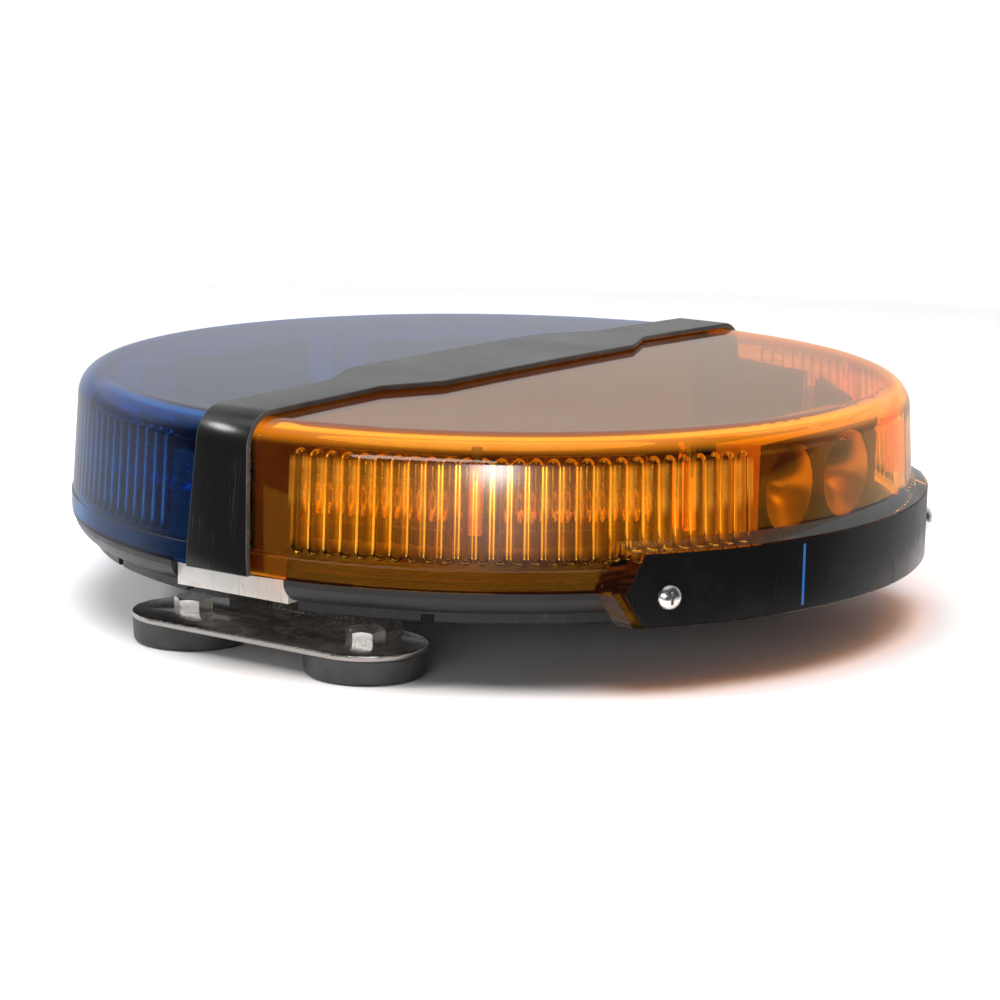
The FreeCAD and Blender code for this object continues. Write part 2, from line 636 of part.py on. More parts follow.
def make_label_plate():
    """A thin self-adhesive plate on the amber lens's pad, with holes for the screws."""
    body = new_body("label_plate")
    face = outline(sketch_on(body, "label_face", "YZ_Plane"),
                   pad_outline("(padTipAngle - labelMargin)", "(padCornerAngle - labelMargin)",
                               "padRadius", "padBottom + labelEdge", "padTop - labelEdge",
                               "padTipHeight"))
    pad(body, "label_blank", face, "padRadius + labelThickness + 5")
    outer = outline(sketch_on(body, "label_outer", "XZ_Plane"), [
        ("padRadius + labelThickness + 0.05", "padBottom - 1"), ("padRadius * 1.3", "padBottom - 1"),
        ("padRadius * 1.3", "padTop + 1"), ("padRadius + labelThickness + 0.05", "padTop + 1")])
    turned(body, "label_outer_cut", outer, kind="Groove")
    inner = outline(sketch_on(body, "label_inner", "XZ_Plane"), [
        ("0", "padBottom - 1"), ("padRadius + 0.05", "padBottom - 1"), ("padRadius + 0.05", "padTop + 1"),
        ("0", "padTop + 1")])
    turned(body, "label_inner_cut", inner, kind="Groove")
    for name, angle in lens_screw_angles()[:2]:
        hole = circle(radial_sketch(body, "label_" + name, angle, "trayRimRadius"),
                      "0", "lensScrewHeight", "lensScrewRadius + 0.2")
        pocket(body, "label_cut_" + name, hole, "20", reverse=True)
    return keep(body, "label_plate")


def make_lens_screws():
    """Pan-head screws with a cross recess, pointing at the light's axis."""
    screws = []
    for index, (name, angle) in enumerate(lens_screw_angles()):
        seat = "(padRadius + labelThickness + 0.1)" if index < 2 else "(padRadius + 0.05)"
        body = new_body("lens_" + name + "_body")
        section = outline(sketch_on(body, name + "_section", "XZ_Plane", (seat, "lensScrewHeight", "0")), [
            ("-lensScrewLength", "0"), ("-lensScrewLength", "lensScrewRadius * 0.6"),
            ("-lensScrewLength + 3", "lensScrewRadius"), ("0", "lensScrewRadius"), ("0", "lensScrewHead"),
            ("lensScrewHeadHeight * 0.45", "lensScrewHead", "6"), ("lensScrewHeadHeight", "0")])
        turned(body, name + "_turn", section, axis="H_Axis")
        slot = sketch_on(body, name + "_cross", "YZ_Plane",
                         ("0", "lensScrewHeight", f"{seat} + lensScrewHeadHeight"))
        arm = "(lensScrewHead * 0.5)"
        half = "(lensScrewHead * 0.13)"
        outline(slot, [("-" + arm, "-" + half), ("-" + half, "-" + half), ("-" + half, "-" + arm),
                       (half, "-" + arm), (half, "-" + half), (arm, "-" + half), (arm, half), (half, half),
                       (half, arm), ("-" + half, arm), ("-" + half, half), ("-" + arm, half)])
        pocket(body, name + "_cross_cut", slot, "lensScrewHeadHeight * 0.7")
        place(body, turn=angle)
        screws.append(body)
    return group("lens_screws", screws)


# --------------------------------------------------------------------------- strap and divider
def make_centre_strap():
    body = new_body("centre_strap")
    out = "(bodyRadius + strapGap + strapWall)"
    inn = "(bodyRadius + strapGap)"
    top = f"({LENS_TOP} + strapGap + strapWall)"
    under = f"({LENS_TOP} + strapGap)"
    shoulder_out = "(shoulderRadius + strapGap + strapWall)"
    shoulder_in = "(shoulderRadius + strapGap)"
    curve_out = "(lensCorner + strapGap + strapWall)"
    curve_in = "(lensCorner + strapGap)"
    side = outline(sketch_on(body, "strap_side", "YZ_Plane"), [
        (inn, "lensBottom"), (out, "lensBottom"), (out, SKIRT_TOP),
        (shoulder_out, "shoulderHeight", "-" + curve_out), (TOP_FLAT, top, "-" + CROWN_CURVE),
        ("0", f"{top} + crownRise", "-" + CROWN_CURVE), ("-" + TOP_FLAT, top, "-" + curve_out),
        ("-" + shoulder_out, "shoulderHeight"), ("-" + out, SKIRT_TOP), ("-" + out, "lensBottom"),
        ("-" + inn, "lensBottom"), ("-" + inn, SKIRT_TOP),
        ("-" + shoulder_in, "shoulderHeight", curve_in), ("-" + TOP_FLAT, under, CROWN_CURVE),
        ("0", f"{under} + crownRise", CROWN_CURVE), (TOP_FLAT, under, curve_in),
        (shoulder_in, "shoulderHeight"), (inn, SKIRT_TOP)])
    pad(body, "strap_blank", side, "2 * strapWideHalf", symmetric=True)
    clear_above = f"{LENS_TOP} + crownRise + 20"
    for hand in (-1, 1):
        waist = outline(sketch_on(body, f"strap_waist_{hand}", "XY_Plane", ("0", "0", clear_above)), [
            (f"{hand} * (strapWideHalf + 5)", "-bodyRadius - 10"),
            (f"{hand} * strapNarrowHalf", "-bodyRadius - 10"),
            (f"{hand} * strapNarrowHalf", "-strapNarrowReach"),
            (f"{hand} * strapWideHalf", "-strapWideReach"),
            (f"{hand} * strapWideHalf", "strapWideReach"),
            (f"{hand} * strapNarrowHalf", "strapNarrowReach"),
            (f"{hand} * strapNarrowHalf", "bodyRadius + 10"),
            (f"{hand} * (strapWideHalf + 5)", "bodyRadius + 10")])
        pocket(body, f"strap_waist_cut_{hand}", waist, f"{clear_above} - shoulderHeight")
        leg = outline(sketch_on(body, f"strap_leg_{hand}", "XZ_Plane"), [
            (f"{hand} * strapBottomHalf", "lensBottom - 1"),
            (f"{hand} * (strapWideHalf + 5)", "lensBottom - 1"),
            (f"{hand} * (strapWideHalf + 5)", "shoulderHeight"),
            (f"{hand} * strapNarrowHalf", "shoulderHeight")])
        pocket(body, f"strap_leg_cut_{hand}", leg, "2 * bodyRadius + 20", symmetric=True)
    return keep(body, "centre_strap")


def make_light_divider():
    wall = primitive("Box", "divider_wall", "-dividerWall / 2", "-chassisRadius", CHASSIS_TOP,
                     Length="dividerWall", Width="2 * chassisRadius",
                     Height=f"{LENS_TOP} - lensWall - dividerHeadroom - {CHASSIS_TOP}")
    window = along_x(primitive("Cylinder", "divider_hole", "-dividerWall", "leadPlace",
                               f"{CONTROL_TOP} + leadRise", Radius="leadHole", Height="2 * dividerWall"))
    return keep(cut("light_divider", wall, window), "light_divider")


# --------------------------------------------------------------------------- chassis and screws
def module_screw_places():
    places = []
    for angle in MODULE_ANGLES:
        for side in ("-moduleScrewHalf", "moduleScrewHalf"):
            places.append(polar(MODULE_SCREW_RADIUS, angle, side))
    return places


def standoff_places():
    near = "-controlNear - standoffInset"
    far = "-controlFar + standoffInset"
    half = "(controlHalf - standoffInset)"
    return [(near, "-" + half), (near, half), (far, "-" + half), (far, half)]


def make_chassis_plate():
    body = new_body("chassis_plate")
    disc = circle(sketch_on(body, "chassis_disc", "XY_Plane", ("0", "0", CHASSIS_BOTTOM)),
                  "0", "0", "chassisRadius")
    pad(body, "chassis_blank", disc, "chassisWall")
    holes = sketch_on(body, "chassis_holes", "XY_Plane", ("0", "0", CHASSIS_TOP))
    for angle in CHASSIS_POST_ANGLES:
        circle(holes, *polar("chassisPostCircle", str(angle)), SCREW_HOLE)
    for x, y in module_screw_places() + standoff_places():
        circle(holes, x, y, SCREW_HOLE)
    circle(holes, "glandX", "glandY", "cableRadius + glandWall")
    pocket(body, "chassis_holes_cut", holes, "chassisWall + 1")
    return keep(body, "chassis_plate")


def small_screw(name, x, y, top, length):
    """A socket-head screw whose head stands on the height given."""
    head = primitive("Cylinder", name + "_head", x, y, top,
                     Radius="smallScrewHead", Height="smallScrewHeadHeight")
    shank = primitive("Cylinder", name + "_shank", x, y, f"({top}) - ({length})",
                      Radius="smallScrewRadius", Height=length)
    socket = primitive("Prism", name + "_socket", x, y, f"({top}) + smallScrewHeadHeight / 2",
                       Circumradius="smallScrewRadius", Height="smallScrewHeadHeight")
    return cut(name, joined(name + "_blank", [head, shank]), socket)


def make_small_screws():
    screws = []
    for index, angle in enumerate(CHASSIS_POST_ANGLES):
        x, y = polar("chassisPostCircle", str(angle))
        screws.append(small_screw(f"chassis_screw_{index}", x, y, CHASSIS_TOP, "chassisWall + chassisGap"))
    for index, (x, y) in enumerate(module_screw_places()):
        screws.append(small_screw(f"module_screw_{index}", x, y, f"{CHASSIS_TOP} + moduleWall",
                                  "moduleWall + chassisWall + 1"))
    for index, (x, y) in enumerate(standoff_places()):
        screws.append(small_screw(f"board_screw_{index}", x, y, CONTROL_TOP,
                                  "boardWall + standoff + chassisWall"))
    return group("small_screws", screws)


# --------------------------------------------------------------------------- LED modules
def make_led_module(number, angle):
    """Bracket, circuit board and optic of one module, each made at +X and turned to its place."""
    bracket = new_body(f"led_bracket_{number}")
    side = outline(sketch_on(bracket, f"bracket_side_{number}", "XZ_Plane"), [
        ("moduleRadius - moduleFoot", CHASSIS_TOP), ("moduleRadius", CHASSIS_TOP), ("moduleRadius", "moduleTop"),
        ("moduleRadius - moduleWall", "moduleTop"),
        ("moduleRadius - moduleWall", f"{CHASSIS_TOP} + moduleWall"),
        ("moduleRadius - moduleFoot", f"{CHASSIS_TOP} + moduleWall")])
    pad(bracket, f"bracket_bend_{number}", side, "2 * moduleHalf", symmetric=True)
    holes = sketch_on(bracket, f"bracket_holes_{number}", "XY_Plane", ("0", "0", f"{CHASSIS_TOP} + moduleWall"))
    for hand in ("-moduleScrewHalf", "moduleScrewHalf"):
        circle(holes, MODULE_SCREW_RADIUS, hand, SCREW_HOLE)
    pocket(bracket, f"bracket_holes_cut_{number}", holes, "moduleWall + 1")
    place(bracket, turn=angle)
    keep(bracket, f"led_bracket_{number}")

    card = box(f"card_{number}", "moduleRadius", "0", "lampHeight - boardHalfHeight", "boardWall",
               "2 * (moduleHalf - boardEdge)", "2 * boardHalfHeight")
    emitters = [box(f"emitter_{number}_{index}", BOARD_FACE, f"{step} * emitterPitch",
                    "lampHeight - emitterSide / 2", "emitterHeight", "emitterSide", "emitterSide")
                for index, step in enumerate((-1.5, -0.5, 0.5, 1.5))]
    board = joined(f"board_{number}", [card] + emitters)
    place(board, turn=angle)
    keep(board, f"led_board_{number}")

    front = box(f"optic_plate_{number}", f"{BOARD_FACE} + opticReach - opticPlate", "0",
                "lampHeight - opticHalfHeight", "opticPlate", "2 * moduleHalf", "2 * opticHalfHeight")
    pieces = [front]
    for index, step in enumerate((-1.5, -0.5, 0.5, 1.5)):
        cup = primitive("Cone", f"optic_cup_{number}_{index}", f"{BOARD_FACE} + emitterHeight + 0.2",
                        f"{step} * emitterPitch", "lampHeight", Radius1="emitterSide * 0.7",
                        Radius2="opticCup", Height="opticReach - emitterHeight - opticPlate + 0.3")
        pieces.append(along_x(cup))
    for index, hand in enumerate((-1, 1)):
        pieces.append(box(f"optic_leg_{number}_{index}", BOARD_FACE, f"{hand} * (moduleHalf - 1.6)",
                          "lampHeight - opticHalfHeight", "opticReach", "1.2", "2 * opticHalfHeight"))
    optic = joined(f"optic_{number}", pieces)
    place(optic, turn=angle)
    keep(optic, f"led_optic_{number}")


def make_window_lamp(colour, turn):
    """The twin reflector that shines through a lens's plain window, and its circuit board."""
    body = new_body(f"window_reflector_{colour}")
    block = sketch_on(body, "reflector_block_" + colour, "YZ_Plane",
                      ("0", "0", "windowFront - windowDepth"))
    rectangle(block, "-windowHalf", CHASSIS_TOP, "windowHalf", "windowTop")
    pad(body, "reflector_blank_" + colour, block, "windowDepth")
    for index, hand in enumerate((-1, 1)):
        bowl = sketch_on(body, f"bowl_{colour}_{index}", "XZ_Plane",
                         ("windowFront", "lampHeight", f"-{hand} * windowCupPitch / 2"))
        outline(bowl, [("-windowDepth - 1", "0"), ("1", "0"), ("1", "windowCupRadius"),
                       ("0", "windowCupRadius", "bowlCurve"), ("-windowDepth + 2", BOWL_THROAT),
                       ("-windowDepth - 1", BOWL_THROAT)])
        turned(body, f"bowl_cut_{colour}_{index}", bowl, axis="H_Axis", kind="Groove")
    place(body, turn=turn)
    keep(body, f"window_reflector_{colour}")

    back = "(windowFront - windowDepth - boardWall)"
    card = box("window_card_" + colour, back, "0", CHASSIS_TOP, "boardWall", "2 * windowHalf - 4",
               f"windowTop - 2 - {CHASSIS_TOP}")
    emitters = [along_x(primitive("Cylinder", f"window_emitter_{colour}_{index}", f"{back} + boardWall",
                                  f"{hand} * windowCupPitch / 2", "lampHeight", Radius="windowEmitter",
                                  Height="windowEmitterHeight"))
                for index, hand in enumerate((-1, 1))]
    board = joined("window_board_blank_" + colour, [card] + emitters)
    place(board, turn=turn)
    keep(board, f"window_board_{colour}")


# --------------------------------------------------------------------------- electronics and wiring
def make_control_board():
    card = box("control_card", "-controlFar", "0", f"{CONTROL_TOP} - boardWall",
               "controlFar - controlNear", "2 * controlHalf", "boardWall")
    holes = [primitive("Cylinder", f"control_hole_{index}", x, y, f"{CONTROL_TOP} - boardWall - 1",
                       Radius=SCREW_HOLE, Height="boardWall + 2")
             for index, (x, y) in enumerate(standoff_places())]
    keep(cut("control_board", card, joined("control_holes", holes)), "control_board")
    legs = []
    for index, (x, y) in enumerate(standoff_places()):
        tube = primitive("Cylinder", f"standoff_tube_{index}", x, y, CHASSIS_TOP,
                         Radius="standoffRadius", Height="standoff")
        bore = primitive("Cylinder", f"standoff_bore_{index}", x, y, f"{CHASSIS_TOP} - 1",
                         Radius=SCREW_HOLE, Height="standoff + 2")
        legs.append(cut(f"standoff_{index}", tube, bore))
    group("board_standoffs", legs)
    parts = []
    for index in range(3):
        parts.append(primitive("Cylinder", f"capacitor_{index}", f"-controlNear - 14 - {index} * 13",
                               "controlHalf - 15", CONTROL_TOP, Radius="5", Height="12"))
    for index in range(4):
        parts.append(box(f"chip_{index}", f"-controlNear - 20 - {index} * 14", "-6", CONTROL_TOP,
                         "7", "5", "1.8"))
    parts.append(box("inductor", "-controlFar + 8", "-26", CONTROL_TOP, "12", "12", "6"))
    parts.append(box("plug_socket", "-controlNear - 10", "leadPlace", CONTROL_TOP, "9", "10", "7"))
    group("board_components", parts)
    block = box("terminal_block_blank", "glandX - 12", "-controlHalf + 6.5", CONTROL_TOP, "24", "11", "11")
    entry = primitive("Cylinder", "terminal_entry", "glandX", "-controlHalf + 3.2",
                      f"{CONTROL_TOP} + cableRise", Radius="cableRadius + 0.3", Height="5")
    entry.Placement = FreeCAD.Placement(entry.Placement.Base, FreeCAD.Rotation(FreeCAD.Vector(1, 0, 0), 90))
    keep(cut("terminal_block", block, entry), "terminal_block")


def make_wiring():
    """The supply cable from the gland to the terminal block, and the leads to the window lamps."""
    x = value("glandX")
    y = value("glandY")
    low = value(f"{FLOOR_TOP} + 2.2")
    high = value(f"{CONTROL_TOP} + cableRise")
    end = value("-controlHalf + 2.2")
    bend = 0.9 * (high - low)
    middle = math.sqrt(0.5) * bend
    centre = FreeCAD.Vector(x, y + bend, high - bend)
    route = Part.Wire([
        Part.LineSegment(FreeCAD.Vector(x, y, low), FreeCAD.Vector(x, y, high - bend)).toShape(),
        Part.Arc(FreeCAD.Vector(x, y, high - bend), centre + FreeCAD.Vector(0, -middle, middle),
                 FreeCAD.Vector(x, y + bend, high)).toShape(),
        Part.LineSegment(FreeCAD.Vector(x, y + bend, high), FreeCAD.Vector(x, end, high)).toShape()])
    ring = Part.Circle(FreeCAD.Vector(x, y, low), FreeCAD.Vector(0, 0, 1), value("cableRadius"))
    cable = doc.addObject("Part::Feature", "supply_cable")
    cable.Shape = route.makePipeShell([Part.Wire(ring.toShape())], True, False)
    leads = []
    for name, start, stop in (("amber", "-controlNear - 1", "windowFront - windowDepth - boardWall"),
                              ("blue", "-windowFront + windowDepth + boardWall", "-controlNear - 10")):
        lead = primitive("Cylinder", f"lead_{name}", start, "leadPlace", f"{CONTROL_TOP} + leadRise",
                         Radius="leadRadius", Height=f"({stop}) - ({start})")
        leads.append(along_x(lead))
    return group("wiring", [cable] + leads)


def make_cable_gland():
    """A rubber gland through the tray's floor, with a flange on each side and a nose below."""
    body = new_body("cable_gland")
    section = outline(sketch_on(body, "gland_section", "XZ_Plane", ("0", "trayFloorBottom", "0")), [
        ("cableRadius + 0.25", "-glandNose"), ("cableRadius + glandWall - 1.4", "-glandNose"),
        ("cableRadius + glandWall - 0.2", "-2"), ("cableRadius + glandWall + 3", "-2"),
        ("cableRadius + glandWall + 3", "0"), ("cableRadius + glandWall", "0"),
        ("cableRadius + glandWall", "trayFloor"), ("cableRadius + glandWall + 2", "trayFloor"),
        ("cableRadius + glandWall + 1", "trayFloor + 2"), ("cableRadius + 0.25", "trayFloor + 2")])
    turned(body, "gland_turn", section)
    place(body, "glandX", "glandY")
    return keep(body, "cable_gland")


def make_vent_plug():
    body = new_body("vent_plug")
    section = outline(sketch_on(body, "vent_section", "XZ_Plane", ("0", "trayFloorBottom", "0")), [
        ("0", "-2.4"), ("ventRadius + 1.5", "-2.4", "-2"), ("ventRadius + 3", "-0.8"), ("ventRadius + 3", "0"),
        ("ventRadius", "0"), ("ventRadius", "trayFloor"), ("ventRadius + 0.9", "trayFloor"),
        ("ventRadius - 0.5", "trayFloor + 2"), ("0", "trayFloor + 2")])
    turned(body, "vent_turn", section)
    place(body, "ventPlace", "ventPlace")
    return keep(body, "vent_plug")


# --------------------------------------------------------------------------- brackets
def stadium(half_spacing, reach, radius):
    """A long outline with round ends, in quarter arcs."""
    left = f"-({half_spacing})"
    return [(left, f"-({reach}) - ({radius})"), (half_spacing, f"-({reach}) - ({radius})", f"-({radius})"),
            (f"({half_spacing}) + ({radius})", f"-({reach})", f"-({radius})"),
            (half_spacing, f"-({reach}) + ({radius})"), (left, f"-({reach}) + ({radius})", f"-({radius})"),
            (f"{left} - ({radius})", f"-({reach})", f"-({radius})")]


def make_bracket(label, turn):
    """One folded stainless bracket: foot plate, web, flange under the tray and upright lip."""
    body = new_body(label)
    back = "(magnetReach - bootRadius)"
    foot = outline(sketch_on(body, "foot", "XY_Plane", ("0", "0", "bootHeight")),
                   stadium("magnetHalfSpacing", "magnetReach", "bootRadius"))
    pad(body, "foot_pad", foot, "plateWall")
    web = outline(sketch_on(body, "web", "XZ_Plane", ("0", "0", back)), [
        ("-magnetHalfSpacing", "bootHeight"), ("magnetHalfSpacing", "bootHeight"),
        ("magnetHalfSpacing", f"{PLATE_TOP} + 1", "webCurve"),
        ("webTopHalf", FLANGE_BOTTOM), ("webTopHalf", "trayFloorBottom"), ("-webTopHalf", "trayFloorBottom"),
        ("-webTopHalf", FLANGE_BOTTOM, "webCurve"), ("-magnetHalfSpacing", f"{PLATE_TOP} + 1")])
    pad(body, "web_pad", web, "plateWall")
    flange = outline(sketch_on(body, "flange", "XY_Plane", ("0", "0", FLANGE_BOTTOM)), [
        ("-webTopHalf", "-" + back), ("-webTopHalf", f"-{back} - flangeSide"),
        ("-lipHalf", "-flangeStep"), ("-lipHalf", "-lipReach"), ("lipHalf", "-lipReach"),
        ("lipHalf", "-flangeStep"), ("webTopHalf", f"-{back} - flangeSide"), ("webTopHalf", "-" + back)])
    pad(body, "flange_pad", flange, "plateWall")
    lip = sketch_on(body, "lip", "XZ_Plane", ("0", "0", "lipReach"))
    rectangle(lip, "-lipHalf", FLANGE_BOTTOM, "lipHalf", "lipTop")
    pad(body, "lip_pad", lip, "plateWall", reverse=True)
    holes = sketch_on(body, "bracket_holes", "XY_Plane", ("0", "0", "trayFloorBottom"))
    for hand in (-1, 1):
        circle(holes, f"{hand} * mountBoltX", "-mountBoltY", "mountBoltRadius + boltClearance")
    pocket(body, "bracket_holes_cut", holes, "plateWall + 1")
    bolts = sketch_on(body, "magnet_holes", "XY_Plane", ("0", "0", PLATE_TOP))
    for hand in (-1, 1):
        circle(bolts, f"{hand} * magnetHalfSpacing", "-magnetReach", "boltRadius + boltClearance")
    pocket(body, "magnet_holes_cut", bolts, "plateWall + 1")
    place(body, turn=turn)
    return keep(body, label)


def hex_prism(name, x, y, z, flats, height):
    """A plain hexagon, given by its distance across the flats."""
    prism = primitive("Prism", name, x, y, z, Circumradius=f"({flats}) / sqrt(3)", Height=height)
    prism.Polygon = 6
    return prism


def make_mount_fasteners():
    """Hex bolts down through the tray's floor and the bracket's flange, with nuts below."""
    bolts = []
    nuts = []
    for x in (-1, 1):
        for y in (-1, 1):
            name = f"{'left' if x < 0 else 'right'}_{'front' if y < 0 else 'rear'}"
            spot = (f"{x} * mountBoltX", f"{y} * mountBoltY")
            nut_low = f"({FLANGE_BOTTOM} - mountNutHeight)"
            head = hex_prism("mount_head_" + name, *spot, FLOOR_TOP, "mountBoltFlats", "mountBoltHead")
            shank = primitive("Cylinder", "mount_shank_" + name, *spot, f"{nut_low} - 1.5",
                              Radius="mountBoltRadius", Height=f"{FLOOR_TOP} - {nut_low} + 1.5")
            bolts.append(joined("mount_bolt_" + name, [head, shank]))
            blank = hex_prism("mount_nut_blank_" + name, *spot, nut_low, "mountBoltFlats", "mountNutHeight")
            bore = primitive("Cylinder", "mount_nut_bore_" + name, *spot, f"{nut_low} - 1",
                             Radius="mountBoltRadius + 0.05", Height="mountNutHeight + 2")
            nuts.append(cut("mount_nut_" + name, blank, bore))
    group("bracket_bolts", bolts)
    group("bracket_nuts", nuts)


# --------------------------------------------------------------------------- magnets
def magnet_places():
    return [("-magnetHalfSpacing", "-magnetReach"), ("magnetHalfSpacing", "-magnetReach"),
            ("magnetHalfSpacing", "magnetReach"), ("-magnetHalfSpacing", "magnetReach")]


def make_magnet(number, x, y):
    boot = new_body(f"magnet_boot_{number}")
    section = outline(sketch_on(boot, f"boot_section_{number}", "XZ_Plane"), [
        ("0", "0"), ("bootRadius - bootRound - 0.4", "0", "-bootRound"),
        ("bootRadius - 0.4", "bootRound"),
        ("bootRadius", "bootHeight - 0.8", "-0.8"), ("bootRadius - 0.8", "bootHeight"),
        ("bootRadius - bootWall", "bootHeight"), ("bootRadius - bootWall", "bootFloor"), ("0", "bootFloor")])
    turned(boot, f"boot_turn_{number}", section)
    place(boot, x, y)
    keep(boot, f"magnet_boot_{number}")

    cup = new_body(f"magnet_cup_{number}")
    rim = "(bootRadius - bootWall - magnetFit)"
    section = outline(sketch_on(cup, f"cup_section_{number}", "XZ_Plane"), [
        ("boltRadius + boltClearance", "bootHeight - cupTop"), (f"{rim} - cupWall", "bootHeight - cupTop"),
        (f"{rim} - cupWall", "bootFloor"), (rim, "bootFloor"), (rim, "bootHeight"),
        ("boltRadius + boltClearance", "bootHeight")])
    turned(cup, f"cup_turn_{number}", section)
    place(cup, x, y)
    keep(cup, f"magnet_cup_{number}")

    height = "bootHeight - cupTop - bootFloor"
    disc = primitive("Cylinder", f"magnet_disc_blank_{number}", "0", "0", "bootFloor",
                     Radius=f"{rim} - cupWall - 1", Height=height)
    bore = primitive("Cylinder", f"magnet_disc_bore_{number}", "0", "0", "bootFloor - 1", Radius="magnetBore",
                     Height=f"{height} + 2")
    return place(cut(f"magnet_disc_{number}", disc, bore), x, y)


def magnet_bolt(number, x, y):
    head = hex_prism(f"bolt_head_blank_{number}", "0", "0", PLATE_TOP, "boltFlats", "boltHead")
    place(head, z=PLATE_TOP, turn="boltTurn")
    dome = primitive("Cone", f"bolt_dome_{number}", "0", "0", PLATE_TOP,
                     Radius1="boltFlats * 0.5 + boltHead * 1.6", Radius2="boltFlats * 0.47",
                     Height="boltHead")
    trimmed = doc.addObject("Part::Common", f"bolt_head_{number}")
    trimmed.Base = head
    trimmed.Tool = dome
    shank = primitive("Cylinder", f"bolt_shank_{number}", "0", "0", f"{PLATE_TOP} - boltLength",
                      Radius="boltRadius", Height="boltLength")
    return place(joined(f"magnet_bolt_{number}", [trimmed, shank]), x, y)


# --------------------------------------------------------------------------- assembly
def build():
    make_base_tray()
    make_lens_seal()
    make_lenses()
    make_label_plate()
    make_lens_screws()
    make_centre_strap()
    make_light_divider()
    make_chassis_plate()
    make_small_screws()
    for number, angle in enumerate(MODULE_ANGLES, start=1):
        make_led_module(number, angle)
    make_window_lamp("amber", "0")
    make_window_lamp("blue", "180")
    make_control_board()
    make_wiring()
    make_cable_gland()
    make_vent_plug()
    make_bracket("front_bracket", "0")
    make_bracket("rear_bracket", "180")
    make_mount_fasteners()
    discs = []
    bolts = []
    for number, (x, y) in enumerate(magnet_places(), start=1):
        discs.append(make_magnet(number, x, y))
        bolts.append(magnet_bolt(number, x, y))
    group("magnet_rings", discs)
    group("magnet_bolts", bolts)


def check_and_export():
    doc.recompute()
    for item in doc.Objects:
        if "Invalid" in item.State or "Error" in item.State:
            raise RuntimeError(f"{item.Name} is {item.State}")
    for item in sub_parts:
        if item.Shape.isNull() or not item.Shape.isValid() or not item.Shape.Solids:
            raise RuntimeError(f"{item.Label} has no valid solid")
    os.makedirs("parts", exist_ok=True)
    for item in sub_parts:
        item.Shape.exportStep(f"parts/{item.Label}.step")
    print(len(sub_parts), "sub-parts written")


build()
check_and_export()
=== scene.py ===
import math

import bmesh
import bpy
from mathutils import Matrix, Vector


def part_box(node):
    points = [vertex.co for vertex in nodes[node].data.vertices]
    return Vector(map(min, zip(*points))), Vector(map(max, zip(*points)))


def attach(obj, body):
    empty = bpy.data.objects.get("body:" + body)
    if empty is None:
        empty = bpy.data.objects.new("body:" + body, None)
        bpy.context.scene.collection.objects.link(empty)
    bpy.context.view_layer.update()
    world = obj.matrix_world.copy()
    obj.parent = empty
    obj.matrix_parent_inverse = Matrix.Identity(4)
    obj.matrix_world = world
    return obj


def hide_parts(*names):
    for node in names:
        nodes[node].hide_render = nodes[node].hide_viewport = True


# A low round two-colour warning light: amber and blue lens halves under a black strap, standing
# on four rubber-booted magnets. Metres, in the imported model's own frame: the strap runs along Y,
# the amber half is on +X and the feet stand at z = 0.

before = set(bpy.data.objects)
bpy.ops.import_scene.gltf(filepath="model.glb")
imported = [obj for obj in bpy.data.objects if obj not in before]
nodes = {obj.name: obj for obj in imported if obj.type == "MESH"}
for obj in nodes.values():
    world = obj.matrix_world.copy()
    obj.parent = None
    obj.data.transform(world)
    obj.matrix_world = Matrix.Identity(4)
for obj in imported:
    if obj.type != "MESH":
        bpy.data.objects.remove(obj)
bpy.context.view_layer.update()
MM = 0.001
CAMERA_TURN = 0.6212
CAMERA_LIFT = 0.2194
CAMERA_ROLL = 0.0178
CAMERA_DISTANCE = 1.3277
CAMERA_LENS = 116.48
CAMERA_SHIFT = (0.0094, 0.0940)

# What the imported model's source holds and its record doesn't: heights, reaches and angles of the
# lenses' features, the light boards' faces, and the fasteners' seats.
WINDOW_EDGE = 20.0
FLUTES_END = 80.2
FLUTE_COUNT = 28
LENS_FOOT = 37.8 * MM
WALL_TOP = 83.8 * MM
LED_BOARD_FACE = 141.6 * MM
EMITTER_HEIGHT = 5.0 * MM
LENS_SCREW_HEIGHT = 36.5 * MM
LENS_SCREW_SEATS = ((-33.0, 175.65 * MM), (33.0, 175.65 * MM),
                    (167.0, 175.25 * MM), (193.0, 175.25 * MM))
BOLT_SEAT = 11.4 * MM
BOLT_TURN = math.radians(27.6)

TABLE_RADIUS = 0.27
ROOM_RADIUS = 1.0
FLOOR_DROP = 0.2 * MM


# --------------------------------------------------------------------------- finishes: the tools
class Wire:
    """One output socket of a finish's nodes; sums and products of wires add the Math nodes."""

    def __init__(self, finish, socket):
        self.finish = finish
        self.socket = socket

    def maths(self, operation, first, second=0.0):
        return self.finish.node("Math", {"operation": operation}, {0: first, 1: second})

    def __add__(self, other):
        return self.maths("ADD", self, other)

    def __radd__(self, other):
        return self.maths("ADD", other, self)

    def __sub__(self, other):
        return self.maths("SUBTRACT", self, other)

    def __rsub__(self, other):
        return self.maths("SUBTRACT", other, self)

    def __mul__(self, other):
        return self.maths("MULTIPLY", self, other)

    def __rmul__(self, other):
        return self.maths("MULTIPLY", other, self)

    def __truediv__(self, other):
        return self.maths("DIVIDE", self, other)

    def __pow__(self, other):
        return self.maths("POWER", self, other)

    def __abs__(self):
        return self.maths("ABSOLUTE", self)

    def most(self, other):
        return self.maths("MAXIMUM", self, other)


